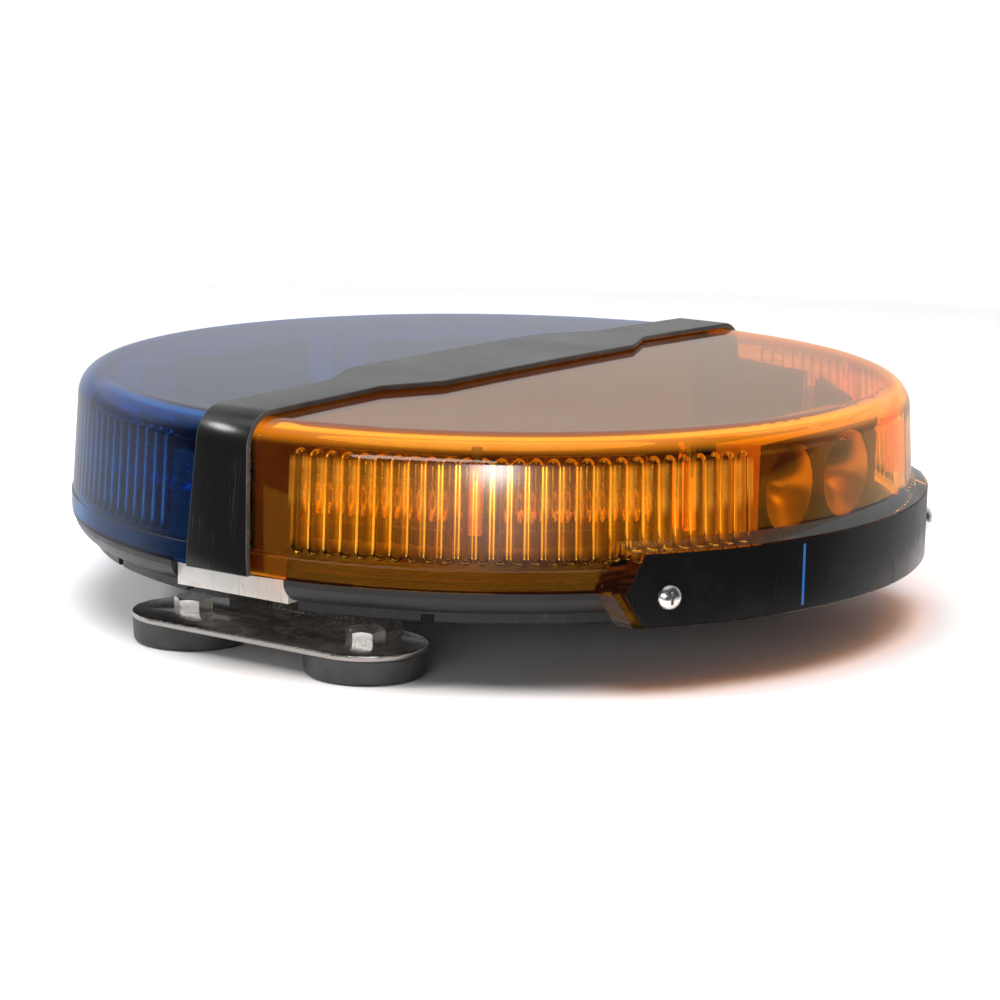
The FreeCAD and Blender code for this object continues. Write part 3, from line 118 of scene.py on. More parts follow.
class Finish:
    """A material built from nodes. Patterns read Object coordinates, so they stay on the piece."""

    def __init__(self, name, tree=None):
        """Starts a material's shader, or with a tree given, that tree's."""
        self.material = None
        if tree is None:
            self.material = bpy.data.materials.new(name)
            self.material.use_nodes = True
            tree = self.material.node_tree
        self.tree = tree
        self.tree.nodes.clear()

    def node(self, kind, settings=None, inputs=None, output=0):
        """Adds any shader node: its settings first, then the values or wires of its sockets."""
        made = self.tree.nodes.new("ShaderNode" + kind)
        for name, setting in (settings or {}).items():
            setattr(made, name, setting)
        for name, given in (inputs or {}).items():
            socket = made.inputs[name]
            if isinstance(given, Wire):
                self.tree.links.new(given.socket, socket)
            else:
                socket.default_value = given
        return Wire(self, made.outputs[output])

    def place(self):
        return self.node("TexCoord", output="Object")

    def axes(self):
        """The place's x, y and z, each as a wire."""
        parts = self.node("SeparateXYZ", inputs={"Vector": self.place()})
        return [Wire(self, parts.socket.node.outputs[index]) for index in range(3)]

    def stretched(self, x, y, z):
        """The place, scaled separately along each axis."""
        return self.node("Mapping", inputs={"Vector": self.place(), "Scale": (x, y, z)})

    def noise(self, scale, detail=4.0, rough=0.5, vector=None):
        return self.node("TexNoise", inputs={"Vector": vector or self.place(), "Scale": scale,
                                             "Detail": detail, "Roughness": rough})

    def ramp(self, wire, low, high, start=0.0, end=1.0, smooth=False):
        """Maps a wire's range low..high to start..end, clamped."""
        kind = "SMOOTHSTEP" if smooth else "LINEAR"
        return self.node("MapRange", {"interpolation_type": kind, "clamp": True},
                         {"Value": wire, "From Min": low, "From Max": high,
                          "To Min": start, "To Max": end})

    def blend(self, mask, first, second):
        """A colour between two others."""
        made = self.tree.nodes.new("ShaderNodeMix")
        made.data_type = "RGBA"
        for index, given in ((0, mask), (6, first), (7, second)):
            if isinstance(given, Wire):
                self.tree.links.new(given.socket, made.inputs[index])
            else:
                made.inputs[index].default_value = given
        return Wire(self, made.outputs[2])

    def scratches(self, scale, thin, turn=0.0):
        """Fine broken lines, white on black."""
        lines = self.node("Mapping", inputs={"Vector": self.place(), "Rotation": (0.3, 0.2, turn),
                                             "Scale": (scale, scale * 0.04, scale * 0.04)})
        streak = self.noise(1.0, 2.0, 0.6, lines)
        return self.ramp(abs(streak - 0.5), 0.0, thin, 1.0, 0.0) * \
            self.ramp(self.noise(scale * 0.12, 2.0), 0.52, 0.62)

    def bump(self, height, strength, distance):
        return self.node("Bump", inputs={"Strength": strength, "Distance": distance,
                                         "Height": height})

    def glassy(self, thin_tint, **sockets):
        """A clear plastic that lets light straight through in its shadow."""
        glass = self.surface(Transmission_Weight=1.0, **sockets)
        clear = self.node("BsdfTransparent", inputs={"Color": thin_tint})
        shadow = self.node("LightPath", output="Is Shadow Ray")
        return self.done(self.node("MixShader", inputs={0: shadow, 1: glass, 2: clear}))

    def angle(self, across, along):
        """The angle whose tangent is across over along, in degrees."""
        return across.maths("ARCTAN2", across, along) * (180.0 / math.pi)

    def surface(self, **sockets):
        """The Principled shader, with spaces for the underscores of its sockets' names."""
        given = {name.replace("_", " "): setting for name, setting in sockets.items()}
        return self.node("BsdfPrincipled", inputs=given)

    def done(self, shader):
        end = self.tree.nodes.new("ShaderNodeOutputMaterial")
        self.tree.links.new(shader.socket, end.inputs["Surface"])
        return self.material


def rgb(red, green, blue):
    return (red, green, blue, 1.0)


def shaded(colour, shade):
    """A colour darkened by a share."""
    return rgb(*(part * shade for part in colour[:3]))


BLACK = rgb(0.0, 0.0, 0.0)
WHITE = rgb(1.0, 1.0, 1.0)


# --------------------------------------------------------------------------- finishes
def tinted_lens(name, tint, thin_tint, edge_glow, flute_glow):
    """Clear tinted polycarbonate, glassy, with a painted glow, set as emission, in the rounding of
    its shoulder, and painted bright lines at the edges of the flutes inside its wall."""
    finish = Finish(name)
    x, y, z = finish.axes()
    radius = (x * x + y * y) ** 0.5
    # Painted light: the shoulder's glow and the bright flute lines are emission colours, not light
    # the lens gathers.
    shoulder = (finish.ramp(z, 86.5 * MM, 90.0 * MM, smooth=True)
                * finish.ramp(z, 92.6 * MM, 94.4 * MM, 1.0, 0.0, smooth=True)
                * finish.ramp(radius, 150.0 * MM, 161.0 * MM, 0.14, 0.8, smooth=True))
    along = finish.angle(abs(y), abs(x))
    step = (along - WINDOW_EDGE) * (FLUTE_COUNT / (FLUTES_END - WINDOW_EDGE))
    within = abs(step.maths("FRACT", step) - 0.5)
    flutes = (finish.ramp(step, -0.05, 0.05)
              * finish.ramp(step, FLUTE_COUNT, FLUTE_COUNT + 0.1, 1.0, 0.0)
              * finish.ramp(z, 50.0 * MM, 53.0 * MM)
              * finish.ramp(z, 81.0 * MM, 84.0 * MM, 1.0, 0.0)
              * finish.ramp(radius, 168.0 * MM, 168.3 * MM, 1.0, 0.0)
              * finish.ramp(within, 0.22, 0.46, 0.25, 1.0)
              * finish.ramp(finish.noise(55.0, 3.0, 0.6), 0.35, 0.65, 0.55, 1.0))
    haze = finish.noise(38.0, 5.0, 0.6)
    specks = finish.ramp(finish.noise(700.0, 2.0, 0.5), 0.7, 0.76)
    scuffs = finish.scratches(260.0, 0.012, 0.5).most(finish.scratches(190.0, 0.01, 2.1))
    ripple = finish.noise(40.0, 2.0, 0.4)
    return finish.glassy(
        thin_tint, Base_Color=finish.blend(finish.ramp(haze, 0.35, 0.7), tint, thin_tint),
        Roughness=finish.ramp(haze, 0.3, 0.75, 0.0, 0.025) + 0.14 * scuffs + 0.1 * specks,
        IOR=1.5, Emission_Strength=1.0,
        Emission_Color=finish.blend(flutes, finish.blend(shoulder, BLACK, edge_glow), flute_glow),
        Normal=finish.bump(ripple + 0.12 * scuffs + 0.1 * specks, 0.04, 0.4 * MM))


def moulded_black(name, colour, rough, grain):
    """Satin moulded plastic with a fine texture and dust in its hollows."""
    finish = Finish(name)
    cloud = finish.noise(60.0, 5.0, 0.6)
    fine = finish.noise(2600.0, 2.0, 0.5)
    scuffs = finish.scratches(220.0, 0.014, 0.9)
    dusty = finish.blend(finish.ramp(cloud, 0.55, 0.8, 0.0, 0.3), colour, rgb(0.035, 0.035, 0.037))
    return finish.done(finish.surface(
        Base_Color=finish.blend(0.25 * scuffs, dusty, rgb(0.12, 0.12, 0.125)),
        Roughness=finish.ramp(cloud, 0.3, 0.7, rough - 0.06, rough + 0.1) + 0.1 * scuffs,
        Specular_IOR_Level=0.35,
        Normal=finish.bump(fine + 0.6 * cloud, grain, 0.15 * MM)))


def strap_black():
    """Glossy black moulding, worn pale along its edges, faintly streaked up its front, and with a
    painted highlight at the corner where its top turns down into each leg.
    """
    finish = Finish("strap_black")
    streaks = finish.noise(1.0, 4.0, 0.6, finish.stretched(420.0, 30.0, 9.0))
    cloud = finish.noise(45.0, 4.0, 0.6)
    scuffs = finish.scratches(240.0, 0.016, 0.2).most(finish.scratches(330.0, 0.012, 1.4))
    x, y, z = finish.axes()
    waist = finish.ramp(abs(y), 66.0 * MM, 91.0 * MM, 23.8 * MM, 12.3 * MM)
    leg = finish.ramp(z, LENS_FOOT, WALL_TOP, 14.9 * MM, 12.3 * MM)
    edge = finish.ramp(abs(x) - waist.most(leg), -0.5 * MM, -0.2 * MM)
    # Painted highlight: a pale line at the corner where the top turns down into each leg; the pale
    # line along the edges is wear.
    bend = (finish.ramp(abs(z - 93.0 * MM), 0.4 * MM, 1.6 * MM, 1.0, 0.0)
            * finish.ramp(abs(y), 160.0 * MM, 163.0 * MM))
    uneven = finish.ramp(finish.noise(60.0, 3.0, 0.6), 0.3, 0.7, 0.4, 0.8)
    edge_wear_and_highlight = edge.most(0.35 * bend) * uneven
    plain = finish.blend(0.14 * scuffs, rgb(0.006, 0.006, 0.0065), rgb(0.1, 0.1, 0.095))
    return finish.done(finish.surface(
        Base_Color=finish.blend(0.35 * edge_wear_and_highlight, plain, rgb(0.3, 0.29, 0.28)),
        Roughness=finish.ramp(cloud, 0.3, 0.7, 0.2, 0.26) + 0.04 * streaks + 0.05 * scuffs,
        Specular_IOR_Level=0.4,
        Normal=finish.bump(streaks + 0.2 * scuffs, 0.03, 0.2 * MM)))


def boot_rubber(name, colour, rough):
    """Dark rubber, with a grey bloom and moulding grain."""
    finish = Finish(name)
    cloud = finish.noise(90.0, 5.0, 0.65)
    grain = finish.noise(1800.0, 3.0, 0.6)
    bloom = finish.blend(finish.ramp(cloud, 0.42, 0.75, 0.0, 0.6), colour, rgb(0.085, 0.085, 0.083))
    return finish.done(finish.surface(
        Base_Color=bloom, Roughness=finish.ramp(cloud, 0.3, 0.7, rough, rough + 0.16),
        Specular_IOR_Level=0.35, Normal=finish.bump(grain + cloud, 0.22, 0.12 * MM)))


def metal(name, colour, rough, brush=(30.0, 900.0, 900.0), strength=0.1):
    """Rolled, turned or plated metal, brushed along the axis with the smallest scale."""
    finish = Finish(name)
    brushed = finish.noise(1.0, 5.0, 0.6, finish.stretched(*brush))
    cloud = finish.noise(70.0, 5.0, 0.6)
    scuffs = finish.scratches(300.0, 0.014, 0.7).most(finish.scratches(210.0, 0.012, 2.3))
    stain = shaded(colour, 0.62)
    return finish.done(finish.surface(
        Base_Color=finish.blend(finish.ramp(cloud, 0.5, 0.85), colour, stain),
        Metallic=1.0,
        Roughness=finish.ramp(brushed, 0.3, 0.7, rough, rough + 0.1) + 0.08 * cloud + 0.15 * scuffs,
        Normal=finish.bump(brushed + 0.5 * scuffs, strength, 0.1 * MM)))


def bracket_steel():
    """Stainless sheet: its foot polished, its upright lip linished to a pale satin, and painted
    dark above the lens's foot, a painted shade where the lip stands behind the lens."""
    finish = Finish("bracket_steel")
    x, y, z = finish.axes()
    lip = finish.ramp(z, 26.0 * MM, 28.0 * MM)
    # Painted shade: the lip is dark and less metallic above the lens's foot, where it stands in
    # shade behind the lens.
    shade_behind_lens = finish.ramp(z, LENS_FOOT - 0.2 * MM, LENS_FOOT + 0.8 * MM)
    brushed = finish.noise(1.0, 4.0, 0.6, finish.stretched(30.0, 700.0, 700.0))
    cloud = finish.noise(60.0, 4.0, 0.6)
    scuffs = finish.scratches(260.0, 0.014, 0.7).most(finish.scratches(190.0, 0.012, 2.3))
    pale = finish.blend(finish.ramp(cloud, 0.45, 0.8, 0.0, 0.6), rgb(0.62, 0.59, 0.55),
                        rgb(0.44, 0.42, 0.39))
    bare = finish.blend(lip, rgb(0.34, 0.32, 0.30), pale)
    scratched = finish.blend(0.5 * scuffs, bare, rgb(0.3, 0.29, 0.28))
    return finish.done(finish.surface(
        Base_Color=finish.blend(shade_behind_lens, scratched, rgb(0.06, 0.04, 0.025)),
        Metallic=1.0 - 0.55 * lip.most(shade_behind_lens * 1.8),
        Roughness=0.2 + 0.22 * lip + 0.06 * brushed + 0.06 * cloud + 0.12 * scuffs,
        Normal=finish.bump(brushed + 0.5 * scuffs, 0.02, 0.1 * MM)))


def label_film():
    """Semi-gloss black film with a narrow blue rule and a fainter one, and no lettering."""
    finish = Finish("label_film")
    x, y, z = finish.axes()
    angle = finish.angle(y, x)
    cloud = finish.noise(50.0, 4.0, 0.6)
    height = finish.ramp(z, 27.4 * MM, 27.8 * MM) * finish.ramp(z, 50.4 * MM, 50.8 * MM, 1.0, 0.0)
    bright = finish.ramp(abs(angle + 13.5), 0.17, 0.24, 1.0, 0.0) * height
    faint = finish.ramp(abs(angle - 16.0), 0.14, 0.22, 0.45, 0.0) * height
    black = finish.blend(finish.ramp(cloud, 0.5, 0.8, 0.0, 0.5), rgb(0.0055, 0.0055, 0.006),
                         rgb(0.009, 0.009, 0.0095))
    ruled = finish.blend(bright.most(faint), black, rgb(0.03, 0.16, 0.52))
    scuffs = finish.scratches(240.0, 0.012, 1.2)
    return finish.done(finish.surface(
        Base_Color=ruled, Roughness=finish.ramp(cloud, 0.3, 0.7, 0.2, 0.32) + 0.15 * scuffs,
        Specular_IOR_Level=0.2, Normal=finish.bump(cloud + 0.2 * scuffs, 0.05, 0.3 * MM)))


def circuit_board(name, turn=0.0, face=None):
    """Dark solder mask with faint tracks. Where the board stands upright, what is proud of its
    face, turned to +X, is an emitter with yellow phosphor."""
    finish = Finish(name)
    tracks = finish.node("TexBrick", {"offset": 0.5}, {
        "Vector": finish.place(), "Scale": 90.0, "Color1": WHITE,
        "Color2": rgb(0.9, 0.9, 0.9), "Mortar": BLACK, "Mortar Size": 0.03})
    cloud = finish.noise(120.0, 3.0)
    colour = finish.blend(finish.ramp(tracks, 0.2, 0.8), rgb(0.10, 0.09, 0.05),
                          rgb(0.035, 0.045, 0.035))
    if face is not None:
        facing = finish.node("Mapping", inputs={"Vector": finish.place(),
                                                "Rotation": (0.0, 0.0, -turn)})
        out = finish.node("SeparateXYZ", inputs={"Vector": facing})
        proud = finish.ramp(out, face + 0.1 * MM, face + 0.2 * MM)
        colour = finish.blend(proud, colour, rgb(0.30, 0.22, 0.08))
    return finish.done(finish.surface(
        Base_Color=colour, Roughness=finish.ramp(cloud, 0.3, 0.7, 0.3, 0.45),
        Normal=finish.bump(tracks, 0.15, 0.1 * MM)))


def reflector_chrome(face):
    """A dark moulding whose bowls, behind its front face, are bright vacuum-plated chrome."""
    finish = Finish("reflector_chrome")
    x, y, z = finish.axes()
    bowl = finish.ramp(abs(x), face - 0.6 * MM, face - 0.3 * MM, 1.0, 0.0)
    behind = finish.ramp(abs(x), face - 19.5 * MM, face - 19.0 * MM)
    ripple = finish.noise(220.0, 3.0, 0.6)
    plated = bowl * behind
    return finish.done(finish.surface(
        Base_Color=finish.blend(plated, rgb(0.035, 0.035, 0.036), rgb(0.62, 0.60, 0.58)),
        Metallic=plated, Roughness=finish.ramp(ripple, 0.3, 0.7, 0.3, 0.4),
        Normal=finish.bump(ripple, 0.12, 0.3 * MM)))


def plain_moulding(name, colour, rough):
    """An inner moulding or small part: clouded colour and a fine grain."""
    finish = Finish(name)
    cloud = finish.noise(80.0, 4.0, 0.6)
    grain = finish.noise(1500.0, 2.0)
    return finish.done(finish.surface(
        Base_Color=finish.blend(finish.ramp(cloud, 0.35, 0.7), colour, shaded(colour, 0.7)),
        Roughness=finish.ramp(cloud, 0.3, 0.7, rough, rough + 0.12),
        Normal=finish.bump(grain + cloud, 0.12, 0.1 * MM)))


def clear_optic():
    """Clear acrylic collimators, slightly ribbed."""
    finish = Finish("clear_optic")
    ripple = finish.noise(300.0, 2.0)
    ribs = finish.ramp(ripple, 0.3, 0.7)
    return finish.glassy(
        rgb(0.85, 0.85, 0.85), IOR=1.49,
        Base_Color=finish.blend(ribs, rgb(0.50, 0.50, 0.50), rgb(0.42, 0.42, 0.43)),
        Roughness=finish.ramp(ripple, 0.3, 0.7, 0.22, 0.32),
        Normal=finish.bump(ripple, 0.15, 0.2 * MM))


FINISHES = {
    "black_plastic": moulded_black("tray_black", rgb(0.014, 0.014, 0.016), 0.34, 0.25),
    "gloss_black": strap_black(),
    "grey_plastic": plain_moulding("divider_grey", rgb(0.10, 0.10, 0.10), 0.5),
    # Each lens's last two colours are its painted glows: the shoulder's and the flute lines'.
    "amber_lens": tinted_lens("amber_lens", rgb(1.0, 0.44, 0.022), rgb(1.0, 0.52, 0.035),
                              rgb(0.40, 0.13, 0.006), rgb(0.38, 0.155, 0.015)),
    "blue_lens": tinted_lens("blue_lens", rgb(0.010, 0.10, 0.36), rgb(0.022, 0.16, 0.46),
                             rgb(0.0, 0.016, 0.065), rgb(0.0, 0.004, 0.02)),
    "label": label_film(),
    "black_rubber": boot_rubber("seal_rubber", rgb(0.018, 0.018, 0.018), 0.5),
    "boot_rubber": boot_rubber("boot_rubber", rgb(0.035, 0.035, 0.035), 0.42),
    "stainless": bracket_steel(),
    "zinc_steel": metal("bright_zinc", rgb(0.84, 0.82, 0.79), 0.2, (400.0, 400.0, 60.0), 0.03),
    "screw_steel": metal("nickel_plate", rgb(0.82, 0.81, 0.79), 0.15, (400.0, 400.0, 400.0)),
    "cup_steel": metal("galvanised_cup", rgb(0.55, 0.55, 0.54), 0.3),
    "ferrite": plain_moulding("ferrite", rgb(0.04, 0.04, 0.045), 0.55),
    "aluminium": metal("mill_aluminium", rgb(0.30, 0.30, 0.30), 0.26, (900.0, 900.0, 40.0)),
    "brass": metal("turned_brass", rgb(0.72, 0.52, 0.22), 0.2, (40.0, 40.0, 900.0)),
    "circuit_board": circuit_board("control_board_mask"),
    "black_components": plain_moulding("component_black", rgb(0.02, 0.02, 0.022), 0.35),
    "terminal_plastic": plain_moulding("terminal_green", rgb(0.03, 0.20, 0.08), 0.4),
    "clear_optic": clear_optic(),
    "reflector_chrome": reflector_chrome(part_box("window_reflector_amber")[1][0]),
}


def finish_for(name, slot):
    """A node's finish: its slot's, or its own where emitters show which way it faces."""
    if slot != "circuit_board" or name == "control_board":
        return FINISHES[slot]
    low, high = (Vector(corner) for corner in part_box(name))
    middle = (low + high) / 2
    turn = math.atan2(middle.y, middle.x)
    face = LED_BOARD_FACE
    if name.startswith("window"):
        face = max(high.x, -low.x) - EMITTER_HEIGHT
    return circuit_board(name + "_mask", turn, face)


slot_of = {}
for name, thing in nodes.items():
    for held in thing.material_slots:
        slot_of[name] = held.material.name.split(".")[0]
        held.material = finish_for(name, slot_of[name])


# --------------------------------------------------------------------------- pieces
def put_in(mesh, name, finish, slot, *replaced):
    """Makes a mesh a piece of the object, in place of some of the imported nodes."""
    piece = bpy.data.objects.new(name, mesh)
    bpy.context.scene.collection.objects.link(piece)
    mesh.materials.clear()
    mesh.materials.append(finish)
    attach(piece, "root")
    if replaced:
        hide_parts(*replaced)
    return piece


def softened(node, name, width, segments=3, angle=32.0):
    """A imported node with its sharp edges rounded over, as a pressed or moulded piece has them."""
    form = bmesh.new()
    form.from_mesh(nodes[node].data)
    bmesh.ops.remove_doubles(form, verts=form.verts, dist=0.002 * MM)
    bmesh.ops.dissolve_limit(form, angle_limit=math.radians(0.4), verts=form.verts,
                             edges=form.edges)
    mesh = bpy.data.meshes.new(name)
    form.to_mesh(mesh)
    form.free()
    piece = put_in(mesh, name, FINISHES[slot_of[node]], slot_of[node], node)
    rounding = piece.modifiers.new("rounded_edges", "BEVEL")
    rounding.width = width
    rounding.segments = segments
    rounding.limit_method = "ANGLE"
    rounding.angle_limit = math.radians(angle)
    rounding.harden_normals = True
    for polygon in mesh.polygons:
        polygon.use_smooth = True
    return piece


class Recipe:
    """A Geometry Nodes tree with named inputs, built node by node."""

    def __init__(self, name, sizes):
        self.tree = bpy.data.node_groups.new(name, "GeometryNodeTree")
        self.sockets = {}
        self.add_socket("Geometry", "NodeSocketGeometry")
        self.add_socket("Geometry", "NodeSocketGeometry", "OUTPUT")
        for size in sizes:
            self.sockets[size] = self.add_socket(size, "NodeSocketFloat")
        self.sockets["Finish"] = self.add_socket("Finish", "NodeSocketMaterial")
        self.entry = self.tree.nodes.new("NodeGroupInput")

    def add_socket(self, name, kind, side="INPUT"):
        """Adds an input or output to the tree, and returns its identifier."""
        made = self.tree.interface.new_socket(name, in_out=side, socket_type=kind)
        return made.identifier

    def size(self, name):
        return self.entry.outputs[name]

    def node(self, kind, settings=None, inputs=None):
        """Adds any geometry node; a list feeds one socket with several links."""
        made = self.tree.nodes.new(kind)
        for name, setting in (settings or {}).items():
            setattr(made, name, setting)
        for name, given in (inputs or {}).items():
            for one in given if isinstance(given, list) else [given]:
                if isinstance(one, bpy.types.NodeSocket):
                    self.tree.links.new(one, made.inputs[name])
                else:
                    made.inputs[name].default_value = one
        return made.outputs[0]

    def maths(self, operation, first, second=0.0):
        return self.node("ShaderNodeMath", {"operation": operation}, {0: first, 1: second})

    def along(self, x=0.0, y=0.0, z=0.0):
        return self.node("ShaderNodeCombineXYZ", inputs={"X": x, "Y": y, "Z": z})

    def moved(self, mesh, shift, scale=(1.0, 1.0, 1.0)):
        return self.node("GeometryNodeTransform", inputs={
            "Geometry": mesh, "Translation": shift, "Scale": scale})

    def boolean(self, operation, first, other):
        """Two solids made one, cut, or kept where they overlap."""
        settings = {"operation": operation, "solver": "EXACT"}
        if operation == "DIFFERENCE":
            return self.node("GeometryNodeMeshBoolean", settings, {0: first, 1: other})
        return self.node("GeometryNodeMeshBoolean", settings, {1: [first, other]})

    def with_shank(self, head):
        """A head joined to its shank, which reaches just into it."""
        length = self.size("Shank Length")
        shank = self.node("GeometryNodeMeshCylinder", inputs={
            "Vertices": 32, "Radius": self.size("Shank Radius"), "Depth": length})
        shank = self.moved(shank, self.along(z=self.maths("MULTIPLY", length, -0.49)))
        return self.boolean("UNION", head, shank)

    def finished(self, piece):
        """Sets the piece on every point, turned as its "facing" says, and gives it its finish."""
        facing = self.node("GeometryNodeInputNamedAttribute", {"data_type": "FLOAT_VECTOR"},
                           {"Name": "facing"})
        spin = self.node("FunctionNodeEulerToRotation", inputs={"Euler": facing})
        placed = self.node("GeometryNodeInstanceOnPoints", inputs={
            "Points": self.entry.outputs["Geometry"], "Instance": piece, "Rotation": spin})
        real = self.node("GeometryNodeRealizeInstances", inputs={"Geometry": placed})
        dressed = self.node("GeometryNodeSetMaterial", inputs={
            "Geometry": real, "Material": self.entry.outputs["Finish"]})
        end = self.tree.nodes.new("NodeGroupOutput")
        self.tree.links.new(dressed, end.inputs[0])


def run_recipe(recipe, name, places, sizes, finish, slot, replaced):
    """Runs a recipe on points given as (place, facing angles), and keeps its mesh as a piece."""
    points = bpy.data.meshes.new(name + "_points")
    points.from_pydata([place for place, facing in places], [], [])
    facings = points.attributes.new("facing", "FLOAT_VECTOR", "POINT")
    for index, (place, facing) in enumerate(places):
        facings.data[index].vector = facing
    carrier = bpy.data.objects.new(name + "_points", points)
    bpy.context.scene.collection.objects.link(carrier)
    worker = carrier.modifiers.new("recipe", "NODES")
    worker.node_group = recipe.tree
    for size, number in sizes.items():
        worker[recipe.sockets[size]] = number
    worker[recipe.sockets["Finish"]] = finish
    bpy.context.view_layer.update()
    graph = bpy.context.evaluated_depsgraph_get()
    mesh = bpy.data.meshes.new_from_object(carrier.evaluated_get(graph))
    mesh.name = name
    bpy.data.objects.remove(carrier)
    form = bmesh.new()
    form.from_mesh(mesh)
    bmesh.ops.remove_doubles(form, verts=form.verts, dist=0.001 * MM)
    bmesh.ops.recalc_face_normals(form, faces=form.faces)
    form.to_mesh(mesh)
    form.free()
    mesh.set_sharp_from_angle(angle=math.radians(30.0))
    return put_in(mesh, name, finish, slot, replaced)


def pan_head_recipe():
    """A pan-head screw with a cross recess: it stands along Z with its seat at z = 0."""
    recipe = Recipe("pan_head_screw", ["Head Radius", "Head Height", "Shank Radius", "Shank Length",
                                       "Slot Length", "Slot Width", "Slot Depth"])
    radius, height = recipe.size("Head Radius"), recipe.size("Head Height")
    ball = recipe.node("GeometryNodeMeshUVSphere", inputs={
        "Segments": 48, "Rings": 32, "Radius": 1.0})
    dome = recipe.moved(ball, (0.0, 0.0, 0.0), recipe.along(radius, radius, height))
    wide = recipe.maths("MULTIPLY", radius, 4.0)
    tall = recipe.maths("MULTIPLY", height, 4.0)
    block = recipe.node("GeometryNodeMeshCube", inputs={"Size": recipe.along(wide, wide, tall)})
    under = recipe.moved(block, recipe.along(z=recipe.maths("MULTIPLY", tall, -0.5)))
    long, narrow = recipe.size("Slot Length"), recipe.size("Slot Width")
    deep = recipe.maths("MULTIPLY", recipe.size("Slot Depth"), 2.0)
    first = recipe.node("GeometryNodeMeshCube", inputs={"Size": recipe.along(long, narrow, deep)})
    second = recipe.node("GeometryNodeMeshCube", inputs={"Size": recipe.along(narrow, long, deep)})
    top = recipe.along(z=height)
    head = recipe.boolean("DIFFERENCE", dome, under)
    head = recipe.boolean("DIFFERENCE", head, recipe.moved(first, top))
    head = recipe.boolean("DIFFERENCE", head, recipe.moved(second, top))
    recipe.finished(recipe.with_shank(head))
    return recipe


def hex_bolt_recipe():
    """A hexagon-head bolt, its corners turned off by a cone, its seat at z = 0."""
    recipe = Recipe("hex_bolt", ["Flats", "Head Height", "Shank Radius", "Shank Length"])
    flats, height = recipe.size("Flats"), recipe.size("Head Height")
    corner = recipe.maths("DIVIDE", flats, math.sqrt(3.0))
    half = recipe.maths("MULTIPLY", height, 0.5)
    hexagon = recipe.node("GeometryNodeMeshCylinder", inputs={
        "Vertices": 6, "Radius": corner, "Depth": height})
    hexagon = recipe.moved(hexagon, recipe.along(z=half))
    cone_foot = recipe.maths("ADD", recipe.maths("MULTIPLY", flats, 0.5),
                             recipe.maths("MULTIPLY", height, 1.6))
    cone = recipe.node("GeometryNodeMeshCone", inputs={
        "Vertices": 64, "Radius Top": recipe.maths("MULTIPLY", flats, 0.47),
        "Radius Bottom": cone_foot, "Depth": height})
    recipe.finished(recipe.with_shank(recipe.boolean("INTERSECT", hexagon, cone)))
    return recipe


def lens_screw_places():
    """Each lens screw's seat and facing, pointing out from the light's axis."""
    places = []
    for degrees, seat in LENS_SCREW_SEATS:
        angle = math.radians(degrees)
        out = Vector((math.cos(angle), math.sin(angle), 0.0))
        facing = out.to_track_quat("Z", "Y").to_euler()
        places.append((out * seat + Vector((0.0, 0.0, LENS_SCREW_HEIGHT)), tuple(facing)))
    return places


def magnet_bolt_places():
    """Each magnet's bolt seat, the bolts standing as they were left when they were tightened."""
    places = []
    for number in (1, 2, 3, 4):
        low, high = (Vector(corner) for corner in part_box(f"magnet_boot_{number}"))
        middle = (low + high) / 2
        places.append((Vector((middle.x, middle.y, BOLT_SEAT)), (0.0, 0.0, BOLT_TURN)))
    return places


run_recipe(pan_head_recipe(), "cross_head_screws", lens_screw_places(), {
    "Head Radius": 4.75 * MM, "Head Height": 2.9 * MM, "Shank Radius": 2.1 * MM,
    "Shank Length": 14.0 * MM, "Slot Length": 5.0 * MM, "Slot Width": 1.15 * MM,
    "Slot Depth": 1.9 * MM}, FINISHES["screw_steel"], "screw_steel", "lens_screws")
run_recipe(hex_bolt_recipe(), "hex_bolts", magnet_bolt_places(), {
    "Flats": 13.0 * MM, "Head Height": 5.3 * MM, "Shank Radius": 4.0 * MM,
    "Shank Length": 9.0 * MM}, FINISHES["zinc_steel"], "zinc_steel", "magnet_bolts")
softened("centre_strap", "strap", 0.55 * MM)
softened("front_bracket", "near_bracket", 0.3 * MM, 2)
softened("rear_bracket", "far_bracket", 0.3 * MM, 2)


# --------------------------------------------------------------------------- stage, light, camera
def make_floor(name, inner, outer):
    """A flat ring of floor, or a disc when it has no inner radius."""
    mesh = bpy.data.meshes.new(name)
    form = bmesh.new()
    steps = 96
    rings = []
    for radius in ([outer] if not inner else [inner, outer]):
        rings.append([form.verts.new((radius * math.cos(math.tau * step / steps),
                                      radius * math.sin(math.tau * step / steps), 0.0))
                      for step in range(steps)])
    if not inner:
        form.faces.new(rings[0])
    else:
        for step in range(steps):
            after = (step + 1) % steps
            form.faces.new((rings[0][step], rings[1][step], rings[1][after], rings[0][after]))
    form.to_mesh(mesh)
    form.free()
    floor = bpy.data.objects.new(name, mesh)
    bpy.context.scene.collection.objects.link(floor)
    floor.location.z = -FLOOR_DROP
    return floor


def make_stage():
    """A plain pale table top, and the same surface round it, which the gloss doesn't show."""
    paper = Finish("floor_paper")
    cloud = paper.noise(3.0, 2.0)
    pale = paper.done(paper.surface(
        Base_Color=paper.blend(cloud, rgb(0.86, 0.86, 0.86), rgb(0.90, 0.90, 0.90)), Roughness=0.9))
    table = make_floor("table_top", 0.0, TABLE_RADIUS)
    surround = make_floor("surround", TABLE_RADIUS, ROOM_RADIUS)
    surround.visible_glossy = False
    for part in (table, surround):
        part.data.materials.append(pale)


def soft_light(name, place, aim, width, height, power):
    """An oval area light, in watts, that the camera doesn't see."""
    lamp = bpy.data.lights.new(name, "AREA")
    lamp.shape = "ELLIPSE"
    lamp.size = width
    lamp.size_y = height
    lamp.energy = power
    thing = bpy.data.objects.new(name, lamp)
    bpy.context.scene.collection.objects.link(thing)
    thing.location = place
    thing.rotation_euler = (Vector(aim) - Vector(place)).to_track_quat("-Z", "Y").to_euler()
    thing.visible_camera = False
    return thing


